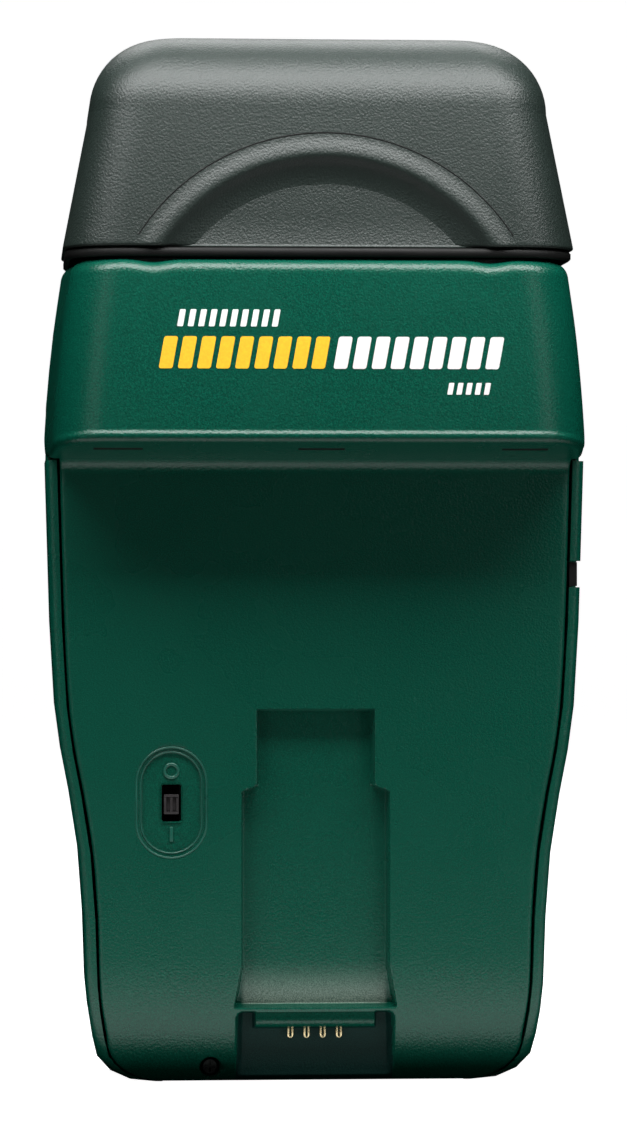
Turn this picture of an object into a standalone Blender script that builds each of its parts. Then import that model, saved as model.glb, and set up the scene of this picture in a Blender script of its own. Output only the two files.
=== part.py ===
"""Pin moisture meter: the base unit, with a dock for its display unit and a cap over its pins.

Metres. +Z runs up to the pins and the cap, the front faces -Y, and +X is the user's right.
The origin is the middle of the flat foot. The unit is two green shells closed from behind by
four screws. They hold a black pin block, the circuit board, a 9 V battery and a side jack.
"""
import math

import bmesh
import bpy
from mathutils import Matrix, Vector

# ---- driving dimensions -------------------------------------------------------------------

GAP = 0.0003                  # clearance between touching pieces
WALL = 0.0022                 # shell wall
SEAM = 0.0004                 # open joint round the front panel

# side profile
HEAD_FRONT_Y = -0.023         # front face of the head
BACK_Y = 0.023                # back of the whole unit
PANEL_Y = -0.007              # dock panel
SPLIT_Y = -0.002              # where the two shells meet in the head
SHOULDER_Z = 0.0972           # underside of the head, where it meets the panel
SHOULDER_RISE = 0.162         # slope of the underside, up towards the front
HEAD_TOP_Z = 0.1276
CHIN_TOP = 0.020              # below this the front recedes to the foot
CHIN_DEPTH = 0.006
HEEL_RADIUS = 0.006           # rounding of the lower back edge

# front outline: half-widths over height, (z, half width)
FOOT_HALF_WIDTH = 0.0255
FOOT_ARC_HEIGHT = 0.007
FOOT_ARC_WIDTH = 0.0092
BODY_OUTLINE = (
    (0.007, 0.0347),
    (0.014, 0.0357),
    (0.026, 0.03615),
    (0.036, 0.0369),
    (0.045, 0.0383),
    (0.052, 0.03965),
    (0.059, 0.0406),
    (0.072, 0.04135),
    (SHOULDER_Z, 0.0421),
)
HEAD_OUTLINE = (
    (SHOULDER_Z, 0.0420),
    (0.101, 0.0422),
    (0.1154, 0.0410),
    (HEAD_TOP_Z, 0.0393),
)
SIDE_WALL = 0.002             # side wall seen outside the panel seam

INSIDE_FRONT_Y = -0.012       # the hollows are cut from this far in front of the panel
FOOT_WALL = 0.0014

# section corners
PANEL_CORNER = 0.0012
BACK_CORNER = 0.009
HEAD_CORNER = 0.0085
HEAD_EDGE = 0.0022            # rolled top edge of the head
SHOULDER_EDGE = 0.0010        # rolled lower edge of the head
COVE_RADIUS = 0.0024          # hollow fillet between the underside and the panel

# opening in the head for the pin block
NECK_HALF_WIDTH = 0.0363
NECK_HALF_DEPTH = 0.0198
NECK_CORNER = 0.007
NECK_Z = (0.12, 0.14)

# cap
CAP_RIM_Z = 0.1295
CAP_TOP_Z = 0.1625
CAP_ARC = 0.0119              # rounding of the top edges
CAP_RIM_HALF_WIDTH = 0.0395
CAP_ARC_HALF_WIDTH = 0.0354   # half width where the top rounding starts
CAP_RIM_HALF_DEPTH = 0.0226
CAP_ARC_HALF_DEPTH = 0.0212
CAP_WALL = 0.0018
CAP_CORNER = 0.009
GRIP_CENTRE = (0.0006, 0.1165)   # x, z of the thumb grip's circles
GRIP_RADIUS = 0.0275
GRIP_DEPTH = 0.0008

# dock: channel and contact pocket in the panel
CHANNEL_FLOOR_Y = -0.0039
CHANNEL_NARROW = 0.00905
CHANNEL_WIDE = 0.01135
CHANNEL_FLARE = 0.01255
CHANNEL_TOP_Z = 0.0583
CHANNEL_STEP_Z = 0.0461
CHANNEL_FLARE_Z = 0.0185
CHANNEL_END_Z = 0.012
CHANNEL_END_Y = -0.0032
POCKET_TOP_Z = 0.0112
POCKET_FLOOR_Y = -0.0029
POCKET_FLOOR_HALF = 0.011
DOCK_BACK_Y = -0.0014
LEDGE_HALF = 0.0095
LEDGE_LOW_Z = 0.0086
LEDGE_FRONT_Y = -0.0054
CONTACT_PITCH = 0.00254
CONTACT_WIDTH = 0.00095
CONTACT_THICK = 0.00025

# switch
SWITCH_X = -0.0225
SWITCH_Z = 0.0439
SLOT_HALF = (0.001575, 0.0029)
KNOB_Z = 0.0437
KNOB_HALF = (0.00115, 0.001535)

# side jack
JACK_Z = 0.0795
JACK_Y = -0.0027
JACK_NOTCH_HALF = 0.00205
JACK_BORE = 0.00125

# pins
PIN_X = 0.016
PIN_TIP_Z = 0.1515
COLLAR_LOW_Z = 0.1279
COLLAR_TOP_Z = 0.1292
BLOCK_TOP_Z = 0.1345
BLOCK_FIT_Z = 0.1250          # the block fits the neck above this and is wider below it
BLOCK_LOW_Z = 0.1215
PAD_RADIUS = 0.0068
POST_HOLE = 0.0023
PIN_RADIUS = 0.0009
COLLET_RADIUS = 0.0048
COLLET_LOW_Z = 0.1372
COLLET_TOP_Z = 0.1436
PIN_LEAD_DIAMETER = 0.0012
BATTERY_LEAD_DIAMETER = 0.0013

# fastenings
CASE_SCREWS = (
    (-0.033, 0.108),
    (0.033, 0.108),
    (-0.0275, 0.016),
    (0.0275, 0.016),
)
BOSS_RADIUS = 0.0034
FRONT_BOSS_RADIUS = 0.0024
BOSS_MEET_Y = 0.006
CHIN_BAR_BACK_Y = 0.0026
SCREW_SEAT_Y = 0.009
SCREW_CLEARANCE = 0.0014
SCREW_HEAD_BORE = 0.0026
SCREW_PILOT = 0.0012
CHIN_SCREW = (-0.0163, 0.0024)
CHIN_SCREW_SEAT_Y = -0.0008
CHIN_RECESS_RADIUS = 0.0016

# inside
BOARD_Y = (0.0002, 0.0018)
BOARD_HALF_WIDTH = 0.0273
BOARD_TAIL_HALF_WIDTH = 0.0235   # narrower between the lower screw bosses
BOARD_TAIL_Z = 0.022
BOARD_Z = (0.0055, 0.118)
BATTERY_HALF = (0.01325, 0.00875)
BATTERY_Y = 0.01135
BATTERY_Z = (0.0045, 0.053)
BAY_HALF = 0.0154
RIB = 0.0014
DOOR_HALF = 0.015
DOOR_TOP_Z = 0.060
DOOR_FRONT_Y = 0.021
DOOR_GROOVES = 4
DOOR_GROOVE_Z = 0.046
DOOR_GROOVE_PITCH = 0.0022
DOOR_GROOVE_HEIGHT = 0.0011
DOOR_GROOVE_DEPTH = 0.0005
DOOR_GROOVE_HALF = 0.007

# ---- materials ----------------------------------------------------------------------------

FINISHES = {
    "green_plastic": ((0.004, 0.070, 0.043), 0.35, 0.0),
    "black_plastic": ((0.018, 0.022, 0.020), 0.40, 0.0),
    "board_green": ((0.015, 0.160, 0.060), 0.50, 0.0),
    "chip_black": ((0.015, 0.015, 0.016), 0.55, 0.0),
    "gold_plate": ((0.900, 0.620, 0.200), 0.25, 1.0),
    "steel": ((0.620, 0.620, 0.600), 0.28, 1.0),
    "nickel": ((0.700, 0.680, 0.630), 0.32, 1.0),
    "battery_wrap": ((0.060, 0.065, 0.075), 0.35, 0.1),
    "wire_red": ((0.550, 0.030, 0.025), 0.50, 0.0),
    "wire_black": ((0.020, 0.020, 0.020), 0.50, 0.0),
}


def finish(name):
    """A Principled material for one of the named finishes."""
    colour, roughness, metallic = FINISHES[name]
    material = bpy.data.materials.get(name) or bpy.data.materials.new(name)
    material.use_nodes = True
    shader = material.node_tree.nodes["Principled BSDF"]
    shader.inputs["Base Color"].default_value = (*colour, 1.0)
    shader.inputs["Roughness"].default_value = roughness
    shader.inputs["Metallic"].default_value = metallic
    return material


# ---- helpers ------------------------------------------------------------------------------

def add_object(name, mesh, finish_name=None, smooth_angle=30.0):
    """Link a mesh as an object; one without a finish is a cutter or a piece to be joined."""
    mesh.shade_smooth()
    mesh.set_sharp_from_angle(angle=math.radians(smooth_angle))
    obj = bpy.data.objects.new(name, mesh)
    bpy.context.scene.collection.objects.link(obj)
    if finish_name:
        mesh.materials.append(finish(finish_name))
    else:
        obj.hide_render = True
        obj.display_type = "WIRE"
    return obj


def mesh_from(bm, name):
    """Close a bmesh into a mesh whose faces point out."""
    bmesh.ops.recalc_face_normals(bm, faces=bm.faces)
    mesh = bpy.data.meshes.new(name)
    bm.to_mesh(mesh)
    bm.free()
    return mesh


def loft(name, sections, finish_name=None, smooth_angle=30.0):
    """A closed solid through sections that all have the same number of points."""
    bm = bmesh.new()
    rows = [[bm.verts.new(point) for point in section] for section in sections]
    count = len(rows[0])
    for low, high in zip(rows, rows[1:]):
        for k in range(count):
            bm.faces.new((low[k], low[(k + 1) % count], high[(k + 1) % count], high[k]))
    bm.faces.new(rows[0])
    bm.faces.new(rows[-1])
    return add_object(name, mesh_from(bm, name), finish_name, smooth_angle)


def box(name, x, y, z, finish_name=None, bevel=0.0):
    """A box between two limits on each axis, with its edges bevelled if asked."""
    bm = bmesh.new()
    size = Vector((x[1] - x[0], y[1] - y[0], z[1] - z[0]))
    middle = Vector((x[1] + x[0], y[1] + y[0], z[1] + z[0])) / 2
    bmesh.ops.create_cube(bm, size=1.0, matrix=Matrix.Translation(middle) @ Matrix.Diagonal((*size, 1.0)))
    if bevel:
        bmesh.ops.bevel(bm, geom=bm.edges, offset=bevel, segments=2, profile=0.5, affect="EDGES")
    return add_object(name, mesh_from(bm, name), finish_name)


def turned(name, profile, centre, direction, finish_name=None, sides=20):
    """A solid of revolution: profile is (radius, distance) pairs along direction from centre."""
    turn = Vector((0, 0, 1)).rotation_difference(Vector(direction)).to_matrix()
    sections = []
    for radius, distance in profile:
        ring = []
        for k in range(sides):
            angle = 2 * math.pi * (k + 0.5) / sides
            point = Vector((radius * math.cos(angle), radius * math.sin(angle), distance))
            ring.append(Vector(centre) + turn @ point)
        sections.append(ring)
    return loft(name, sections, finish_name)


def prism(name, outline, x, finish_name=None):
    """A prism along X over an outline of (y, z) points."""
    return loft(name, [[(end, y, z) for y, z in outline] for end in x], finish_name)


def plate(name, outline, y, finish_name=None):
    """A prism along Y over an outline of (x, z) points."""
    return loft(name, [[(x, end, z) for x, z in outline] for end in y], finish_name)


def tube(name, points, diameter, finish_name):
    """A lead along a smooth curve through its route's points."""
    spline_points = smooth_route(points, 5)
    curve = bpy.data.curves.new(name, "CURVE")
    curve.dimensions = "3D"
    curve.bevel_depth = diameter / 2
    curve.bevel_resolution = 2
    curve.use_fill_caps = True
    spline = curve.splines.new("POLY")
    spline.points.add(len(spline_points) - 1)
    for slot, point in zip(spline.points, spline_points):
        slot.co = (*point, 1.0)
    curve.materials.append(finish(finish_name))
    obj = bpy.data.objects.new(name, curve)
    bpy.context.scene.collection.objects.link(obj)
    return obj


def smooth_route(points, steps):
    """Catmull-Rom points through a route."""
    knots = [Vector(p) for p in points]
    knots = [2 * knots[0] - knots[1]] + knots + [2 * knots[-1] - knots[-2]]
    route = []
    for a, b, c, d in zip(knots, knots[1:], knots[2:], knots[3:]):
        for k in range(steps):
            t = k / steps
            route.append(0.5 * (2 * b + (c - a) * t + (2 * a - 5 * b + 4 * c - d) * t ** 2
                                + (3 * b - a - 3 * c + d) * t ** 3))
    route.append(knots[-2])
    return route


def combine(target, tools, operation="DIFFERENCE"):
    """Cut, join or intersect hidden tool objects with a target."""
    for tool in tools:
        modifier = target.modifiers.new(f"{operation.lower()}_{tool.name}", "BOOLEAN")
        modifier.operation = operation
        modifier.solver = "EXACT"
        modifier.object = tool
    return target


# ---- outlines -----------------------------------------------------------------------------

def smooth_value(outline, z):
    """Value at z of a smooth curve through (z, value) points, by cubic Hermite pieces."""
    last = len(outline) - 2
    k = 0
    while k < last and z > outline[k + 1][0]:
        k += 1
    (z0, v0), (z1, v1) = outline[k], outline[k + 1]

    def slope(i):
        low, high = outline[max(i - 1, 0)], outline[min(i + 1, last + 1)]
        return (high[1] - low[1]) / (high[0] - low[0])

    span = z1 - z0
    t = (z - z0) / span
    return ((2 * t ** 3 - 3 * t ** 2 + 1) * v0 + (t ** 3 - 2 * t ** 2 + t) * span * slope(k)
            + (3 * t ** 2 - 2 * t ** 3) * v1 + (t ** 3 - t ** 2) * span * slope(k + 1))


def body_half_width(z):
    """Half width of the handle, with elliptical corners at the foot."""
    if z < FOOT_ARC_HEIGHT:
        drop = 1 - max(z, 0.0) / FOOT_ARC_HEIGHT
        return FOOT_HALF_WIDTH + FOOT_ARC_WIDTH * math.sqrt(1 - drop * drop)
    return smooth_value(BODY_OUTLINE, z)


def head_half_width(z):
    """Half width of the head, whose sides lean in towards the cap."""
    return smooth_value(HEAD_OUTLINE, min(max(z, SHOULDER_Z), HEAD_TOP_Z))


def front_y(z):
    """Front surface of the handle: the flat panel, then the receding chin."""
    if z >= CHIN_TOP:
        return PANEL_Y
    drop = 1 - max(z, 0.0) / CHIN_TOP
    return PANEL_Y + CHIN_DEPTH * (1 - math.sqrt(1 - drop * drop))


def back_y(z):
    """Back surface of the handle, rounded at the heel."""
    drop = max(HEEL_RADIUS - max(z, 0.0), 0.0)
    return BACK_Y - HEEL_RADIUS + math.sqrt(HEEL_RADIUS ** 2 - drop ** 2)


def section(z, half_width, y, corners, steps=5):
    """A rounded rectangle at height z: y and corners are (front, back) pairs."""
    points = []
    for sign_x, side, start in ((1, 1, 0), (-1, 1, 90), (-1, 0, 180), (1, 0, 270)):
        radius = corners[side]
        centre_x = sign_x * (half_width - radius)
        centre_y = y[side] + (radius if side == 0 else -radius)
        for k in range(steps + 1):
            angle = math.radians(start + 90 * k / steps)
            points.append((centre_x + radius * math.cos(angle), centre_y + radius * math.sin(angle), z))
    return points


def handle_heights():
    """Section heights, close together where the foot and chin curve."""
    chin = [CHIN_TOP * (1 - math.cos(math.radians(90 * k / 7))) for k in range(8)]
    return chin + [z for z, _ in BODY_OUTLINE if z > CHIN_TOP]


def edge_roll(radius, steps=4):
    """(rise, inset) pairs of a rounded edge, from its side to its top."""
    angles = [math.radians(90 * k / steps) for k in range(steps + 1)]
    return [(radius * math.sin(a), radius * (1 - math.cos(a))) for a in angles]


def handle_sections(inset, y_front=None, y_inset=0.0, heights=None):
    """Sections of the handle, or of its inside when inset is set."""
    sections = []
    for z in heights or handle_heights():
        front = front_y(z) if y_front is None else y_front
        back = back_y(z) - y_inset
        corner = min(BACK_CORNER - inset, (back - front) / 3)
        small = PANEL_CORNER if y_front is None else 0.0005
        sections.append(section(z, body_half_width(z) - inset, (front, back), (small, corner)))
    return sections


def head_sections(y, corners, bottom, low_roll=0.0):
    """Sections of one half of the head, with a rolled top edge."""
    sections = []

    def add(z, shrink):
        front = y[0] + (shrink if y[0] < SPLIT_Y - GAP else 0)
        back = y[1] - (shrink if y[1] > SPLIT_Y + GAP else 0)
        half = head_half_width(z) - shrink
        sections.append(section(z, half, (front, back), corners, steps=6))

    for rise, shrink in reversed(edge_roll(low_roll)) if low_roll else ((0.0, 0.0),):
        add(bottom + low_roll - rise, shrink)
    for z in (0.106, 0.112, 0.118):
        add(z, 0.0)
    for rise, shrink in edge_roll(HEAD_EDGE):
        add(HEAD_TOP_Z - HEAD_EDGE + rise, shrink)
    return sections


# ---- shells -------------------------------------------------------------------------------

def boss(name, x, z, y, radius):
    """A round screw boss along Y."""
    return turned(name, ((radius, 0.0), (radius, y[1] - y[0])), (x, y[0], z), (0, 1, 0))


def rib_outline(y_front, z):
    """(y, z) outline of a bay rib that ends inside the back wall and the rounded heel."""
    heights = [z[0], 0.002, 0.004, HEEL_RADIUS, z[1]]
    return [(y_front, z[1]), (y_front, z[0])] + [(back_y(h) - 0.0007, h) for h in heights]


def neck_cutter(name):
    """Opening in the head's top for the pin block."""
    depth = (-NECK_HALF_DEPTH, NECK_HALF_DEPTH)
    return loft(name, [section(z, NECK_HALF_WIDTH, depth, (NECK_CORNER, NECK_CORNER)) for z in NECK_Z])


def add_back_case():
    """Rear shell: handle tub with the battery bay, and the back half of the head."""
    case = loft("back_case", handle_sections(0.0), "green_plastic")
    head = loft("back_head", head_sections((SPLIT_Y + GAP / 2, BACK_Y), (0.0006, BACK_CORNER),
                                           bottom=SHOULDER_Z - 0.004))
    inside_inset = SIDE_WALL - SEAM / 2
    inside_z = [FOOT_WALL] + [z for z in handle_heights() if z > FOOT_WALL]
    inside = loft("handle_inside", handle_sections(inside_inset, y_front=INSIDE_FRONT_Y, y_inset=WALL,
                                                   heights=inside_z))
    mouth_y = (INSIDE_FRONT_Y, CHIN_BAR_BACK_Y + GAP)
    mouth = loft("foot_mouth", [section(z, body_half_width(z) - inside_inset, mouth_y, (0.0005, 0.0005))
                                for z in (-0.001, 0.0, 0.0004, 0.0015, 0.0034)])
    head_y = (INSIDE_FRONT_Y, BACK_Y - WALL)
    head_room = loft("head_inside", [section(z, head_half_width(z) - inside_inset, head_y,
                                             (0.0005, BACK_CORNER - WALL))
                                     for z in (0.0955, 0.101, 0.112, HEAD_TOP_Z - WALL)])
    combine(case, [head], "UNION")
    combine(case, [inside, mouth, head_room, neck_cutter("neck_hole")])

    bosses = []
    bores = []
    for k, (x, z) in enumerate(CASE_SCREWS, start=1):
        bosses.append(boss(f"rear_boss_{k}", x, z, (BOSS_MEET_Y, BACK_Y - 0.0012), BOSS_RADIUS))
        seat = SCREW_SEAT_Y - BOSS_MEET_Y
        bores.append(turned(f"rear_bore_{k}", ((SCREW_CLEARANCE, -0.004), (SCREW_CLEARANCE, seat),
                                               (SCREW_HEAD_BORE, seat), (SCREW_HEAD_BORE, 0.02)),
                            (x, BOSS_MEET_Y, z), (0, 1, 0)))
    x, z = CHIN_SCREW
    start = (x, CHIN_BAR_BACK_Y + GAP, z)
    bosses.append(turned("chin_boss", ((0.0021, 0.0), (0.0021, 0.006)), start, (0, 1, 0), sides=16))
    bores.append(turned("chin_bore", ((0.0011, -0.002), (0.0011, 0.0045)), start, (0, 1, 0), sides=16))
    ribs = [prism(f"bay_rib_{name}", rib_outline(0.0028, (0.0008, DOOR_TOP_Z + 0.003)), side)
            for name, side in (("left", (-BAY_HALF - RIB, -BAY_HALF)), ("right", (BAY_HALF, BAY_HALF + RIB)))]
    combine(case, bosses + ribs, "UNION")
    bay = box("bay_opening", (-DOOR_HALF, DOOR_HALF), (DOOR_FRONT_Y - 0.0006, 0.03), (-0.01, DOOR_TOP_Z))
    notch = box("jack_notch", (0.038, 0.046), (INSIDE_FRONT_Y, -0.0008),
                (JACK_Z - JACK_NOTCH_HALF, JACK_Z + JACK_NOTCH_HALF))
    combine(case, bores + [bay, notch])
    return case


def add_battery_door():
    """Door over the battery, which slides down off the back."""
    door = loft("battery_door", handle_sections(0.0), "green_plastic")
    blank = box("door_blank", (-DOOR_HALF + GAP, DOOR_HALF - GAP), (DOOR_FRONT_Y, 0.03),
                (-0.01, DOOR_TOP_Z - GAP))
    combine(door, [blank], "INTERSECT")
    lows = [DOOR_GROOVE_Z + DOOR_GROOVE_PITCH * k for k in range(DOOR_GROOVES)]
    grooves = [box(f"door_groove_{k}", (-DOOR_GROOVE_HALF, DOOR_GROOVE_HALF),
                   (BACK_Y - DOOR_GROOVE_DEPTH, 0.03), (low, low + DOOR_GROOVE_HEIGHT))
               for k, low in enumerate(lows, start=1)]
    return combine(door, grooves)


def cove_outline(radius, steps=4):
    """(y, z) outline of the hollow fillet under the shoulder."""
    arc = [(PANEL_Y - radius * (1 - math.sin(math.radians(90 * k / steps))),
            SHOULDER_Z - radius * (1 - math.cos(math.radians(90 * k / steps)))) for k in range(steps + 1)]
    return arc + [(PANEL_Y + 0.0008, SHOULDER_Z - radius), (PANEL_Y + 0.0008, SHOULDER_Z + 0.0008),
                  (PANEL_Y - radius, SHOULDER_Z + 0.0008)]


def slope_outline():
    """(y, z) outline of the wedge below the head's sloping underside."""
    back, front = PANEL_Y - COVE_RADIUS, HEAD_FRONT_Y - 0.003
    low = SHOULDER_Z - 0.002
    high = SHOULDER_Z + GAP
    return [(back, low), (back, high), (front, high + SHOULDER_RISE * (back - front)), (front, low)]


def behind_front(y_back, z):
    """(y, z) outline of a thickening: just inside the front surface, and flat at the back."""
    heights = [z[0]] + [h for h in handle_heights() if z[0] + 0.0002 < h < z[1] - 0.0002] + [z[1]]
    return [(front_y(h) + 0.0006, h) for h in heights] + [(y_back, z[1]), (y_back, z[0])]


def dock_cutters():
    """Channel, contact pocket and contact window of the dock."""
    front = PANEL_Y - 0.004
    narrow = box("channel_narrow", (-CHANNEL_NARROW, CHANNEL_NARROW), (front, CHANNEL_FLOOR_Y),
                 (CHANNEL_FLARE_Z, CHANNEL_TOP_Z))
    wide = plate("channel_wide", [(-CHANNEL_WIDE, CHANNEL_STEP_Z), (-CHANNEL_WIDE, CHANNEL_FLARE_Z),
                                  (CHANNEL_WIDE, CHANNEL_FLARE_Z), (CHANNEL_WIDE, CHANNEL_STEP_Z)],
                 (front, CHANNEL_FLOOR_Y))
    low_z = CHANNEL_FLARE_Z + 0.0002
    flare = loft("channel_flare", [
        [(-CHANNEL_WIDE, front, low_z), (CHANNEL_WIDE, front, low_z),
         (CHANNEL_WIDE, CHANNEL_FLOOR_Y, low_z), (-CHANNEL_WIDE, CHANNEL_FLOOR_Y, low_z)],
        [(-CHANNEL_FLARE, front, CHANNEL_END_Z), (CHANNEL_FLARE, front, CHANNEL_END_Z),
         (CHANNEL_FLARE, CHANNEL_END_Y, CHANNEL_END_Z), (-CHANNEL_FLARE, CHANNEL_END_Y, CHANNEL_END_Z)]])
    mouth = (CHANNEL_FLARE + 0.0012, front)
    pocket = loft("contact_pocket", [
        [(-mouth[0], mouth[1], z), (mouth[0], mouth[1], z),
         (POCKET_FLOOR_HALF, POCKET_FLOOR_Y, z), (-POCKET_FLOOR_HALF, POCKET_FLOOR_Y, z)]
        for z in (-0.002, POCKET_TOP_Z)])
    return [narrow, wide, flare, pocket]


def add_front_case():
    """Front shell: head face, shoulder, dock panel and chin."""
    heights = handle_heights() + [SHOULDER_Z + 0.001]
    inset = SIDE_WALL + SEAM / 2
    case = loft("front_case", [section(z, body_half_width(min(z, SHOULDER_Z)) - inset,
                                       (front_y(z), front_y(z) + WALL), (0.0006, 0.0003), steps=2)
                               for z in heights], "green_plastic")
    head = loft("front_head", head_sections((HEAD_FRONT_Y, SPLIT_Y - GAP / 2), (HEAD_CORNER, 0.0006),
                                            bottom=SHOULDER_Z + GAP, low_roll=SHOULDER_EDGE))
    room_y = (HEAD_FRONT_Y + WALL, 0.004)
    room_corners = (HEAD_CORNER - WALL, 0.0005)
    room_z = (SHOULDER_Z + 2 * WALL, 0.106, 0.115, HEAD_TOP_Z - WALL)
    head_room = loft("front_head_inside", [section(z, head_half_width(z) - WALL, room_y, room_corners)
                                           for z in room_z])
    combine(head, [head_room, neck_cutter("front_neck_hole"),
                   prism("shoulder_slope", slope_outline(), (-0.05, 0.05))])
    cove = prism("shoulder_cove", cove_outline(COVE_RADIUS), (-0.0393, 0.0393))
    dock = prism("dock_back", behind_front(DOCK_BACK_Y, (0.0016, 0.0612)), (-0.0148, 0.0148))
    bar = prism("chin_bar", behind_front(CHIN_BAR_BACK_Y, (0.0, 0.0036)), (-0.0221, 0.0221))
    combine(case, [head, cove, dock, bar], "UNION")

    bosses = []
    bores = []
    for k, (x, z) in enumerate(CASE_SCREWS, start=1):
        start = HEAD_FRONT_Y + 0.0016 if z > SHOULDER_Z else PANEL_Y + 0.001
        bosses.append(boss(f"front_boss_{k}", x, z, (start, BOSS_MEET_Y - GAP), FRONT_BOSS_RADIUS))
        bores.append(turned(f"front_bore_{k}", ((SCREW_PILOT, -0.0105), (SCREW_PILOT, 0.002)),
                            (x, BOSS_MEET_Y, z), (0, 1, 0), sides=16))
    combine(case, bosses, "UNION")
    combine(case, dock_cutters())
    ledge = box("contact_ledge", (-LEDGE_HALF, LEDGE_HALF), (LEDGE_FRONT_Y, POCKET_FLOOR_Y + 0.0006),
                (LEDGE_LOW_Z, POCKET_TOP_Z + 0.0006), bevel=0.0003)
    combine(case, [ledge], "UNION")
    window = box("contact_window", (-0.0047, 0.0047), (-0.0046, 0.001), (0.0079, 0.0097))
    slot = box("switch_slot", (SWITCH_X - SLOT_HALF[0], SWITCH_X + SLOT_HALF[0]), (-0.012, 0.0),
               (SWITCH_Z - SLOT_HALF[1], SWITCH_Z + SLOT_HALF[1]))
    x, z = CHIN_SCREW
    recess = turned("chin_recess", ((CHIN_RECESS_RADIUS, -0.008), (CHIN_RECESS_RADIUS, 0.0), (0.0009, 0.0),
                                    (0.0009, 0.008)), (x, CHIN_SCREW_SEAT_Y, z), (0, 1, 0), sides=16)
    combine(case, bores + [window, slot, recess])
    return case


def cap_sections(inset, low):
    """Sections of the cap, or of its inside when inset is set."""
    arc_z = CAP_TOP_Z - CAP_ARC
    sections = []
    for z in (low, 0.134, 0.139, 0.1445):
        t = (z - CAP_RIM_Z) / (arc_z - CAP_RIM_Z)
        half = CAP_RIM_HALF_WIDTH + (CAP_ARC_HALF_WIDTH - CAP_RIM_HALF_WIDTH) * t - inset
        depth = CAP_RIM_HALF_DEPTH + (CAP_ARC_HALF_DEPTH - CAP_RIM_HALF_DEPTH) * t - inset
        sections.append(section(z, half, (-depth, depth), (CAP_CORNER - inset, CAP_CORNER - inset)))
    radius = CAP_ARC - inset
    for rise, shrink in edge_roll(radius, 7):
        half = CAP_ARC_HALF_WIDTH - inset - shrink
        depth = CAP_ARC_HALF_DEPTH - inset - shrink
        corner = max(CAP_CORNER - inset - shrink * 0.45, 0.002)
        sections.append(section(arc_z + rise, half, (-depth, depth), (corner, corner)))
    return sections


def add_pin_cap():
    """Cap over the pins, with a round thumb grip low on its front and back."""
    cap = loft("pin_cap", cap_sections(0.0, CAP_RIM_Z), "black_plastic")
    inside = loft("cap_inside", cap_sections(CAP_WALL, CAP_RIM_Z - 0.001))
    x, z = GRIP_CENTRE
    grips = [turned(f"thumb_grip_{name}", ((GRIP_RADIUS + 0.002, -0.01), (GRIP_RADIUS + 0.0008, 0.0),
                                           (GRIP_RADIUS - 0.002, GRIP_DEPTH)),
                    (x, -side * CAP_RIM_HALF_DEPTH, z), (0, side, 0), sides=64)
             for name, side in (("front", 1), ("back", -1))]
    return combine(cap, [inside] + grips)


def add_pin_block():
    """Black insulating block: it closes the head, carries the pins and guides the cap."""
    def ring(z, half, depth, corner):
        return section(z, half, (-depth, depth), (corner, corner))

    block = loft("pin_block", (
        ring(BLOCK_LOW_Z, 0.0372, 0.0202, 0.0068),
        ring(BLOCK_FIT_Z, 0.0369, 0.0202, 0.0068),
        ring(BLOCK_FIT_Z, 0.0360, 0.0195, 0.0068),
        ring(COLLAR_LOW_Z, 0.0360, 0.0195, 0.0068),
        ring(COLLAR_LOW_Z, 0.0386, 0.0216, 0.0085),
        ring(COLLAR_TOP_Z, 0.0386, 0.0216, 0.0085),
        ring(COLLAR_TOP_Z, 0.0371, 0.0202, 0.0074),
        ring(0.1338, 0.0362, 0.0200, 0.0072),
        ring(BLOCK_TOP_Z, 0.0355, 0.0193, 0.0065),
    ), "black_plastic")
    hollow = loft("block_hollow", [ring(z, 0.0336, 0.0172, 0.005) for z in (0.12, 0.1312)])
    pads, holes = [], []
    pad_profile = ((PAD_RADIUS, -0.001), (PAD_RADIUS, 0.0018), (PAD_RADIUS - 0.0006, 0.0024))
    for side, x in (("left", -PIN_X), ("right", PIN_X)):
        foot = (x, 0, BLOCK_TOP_Z)
        pads.append(turned(f"pin_pad_{side}", pad_profile, foot, (0, 0, 1), sides=28))
        holes.append(turned(f"pin_hole_{side}", ((POST_HOLE, -0.01), (POST_HOLE, 0.01)), foot, (0, 0, 1)))
    combine(block, [hollow])
    combine(block, pads, "UNION")
    return combine(block, holes)


# ---- pins ---------------------------------------------------------------------------------

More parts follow.
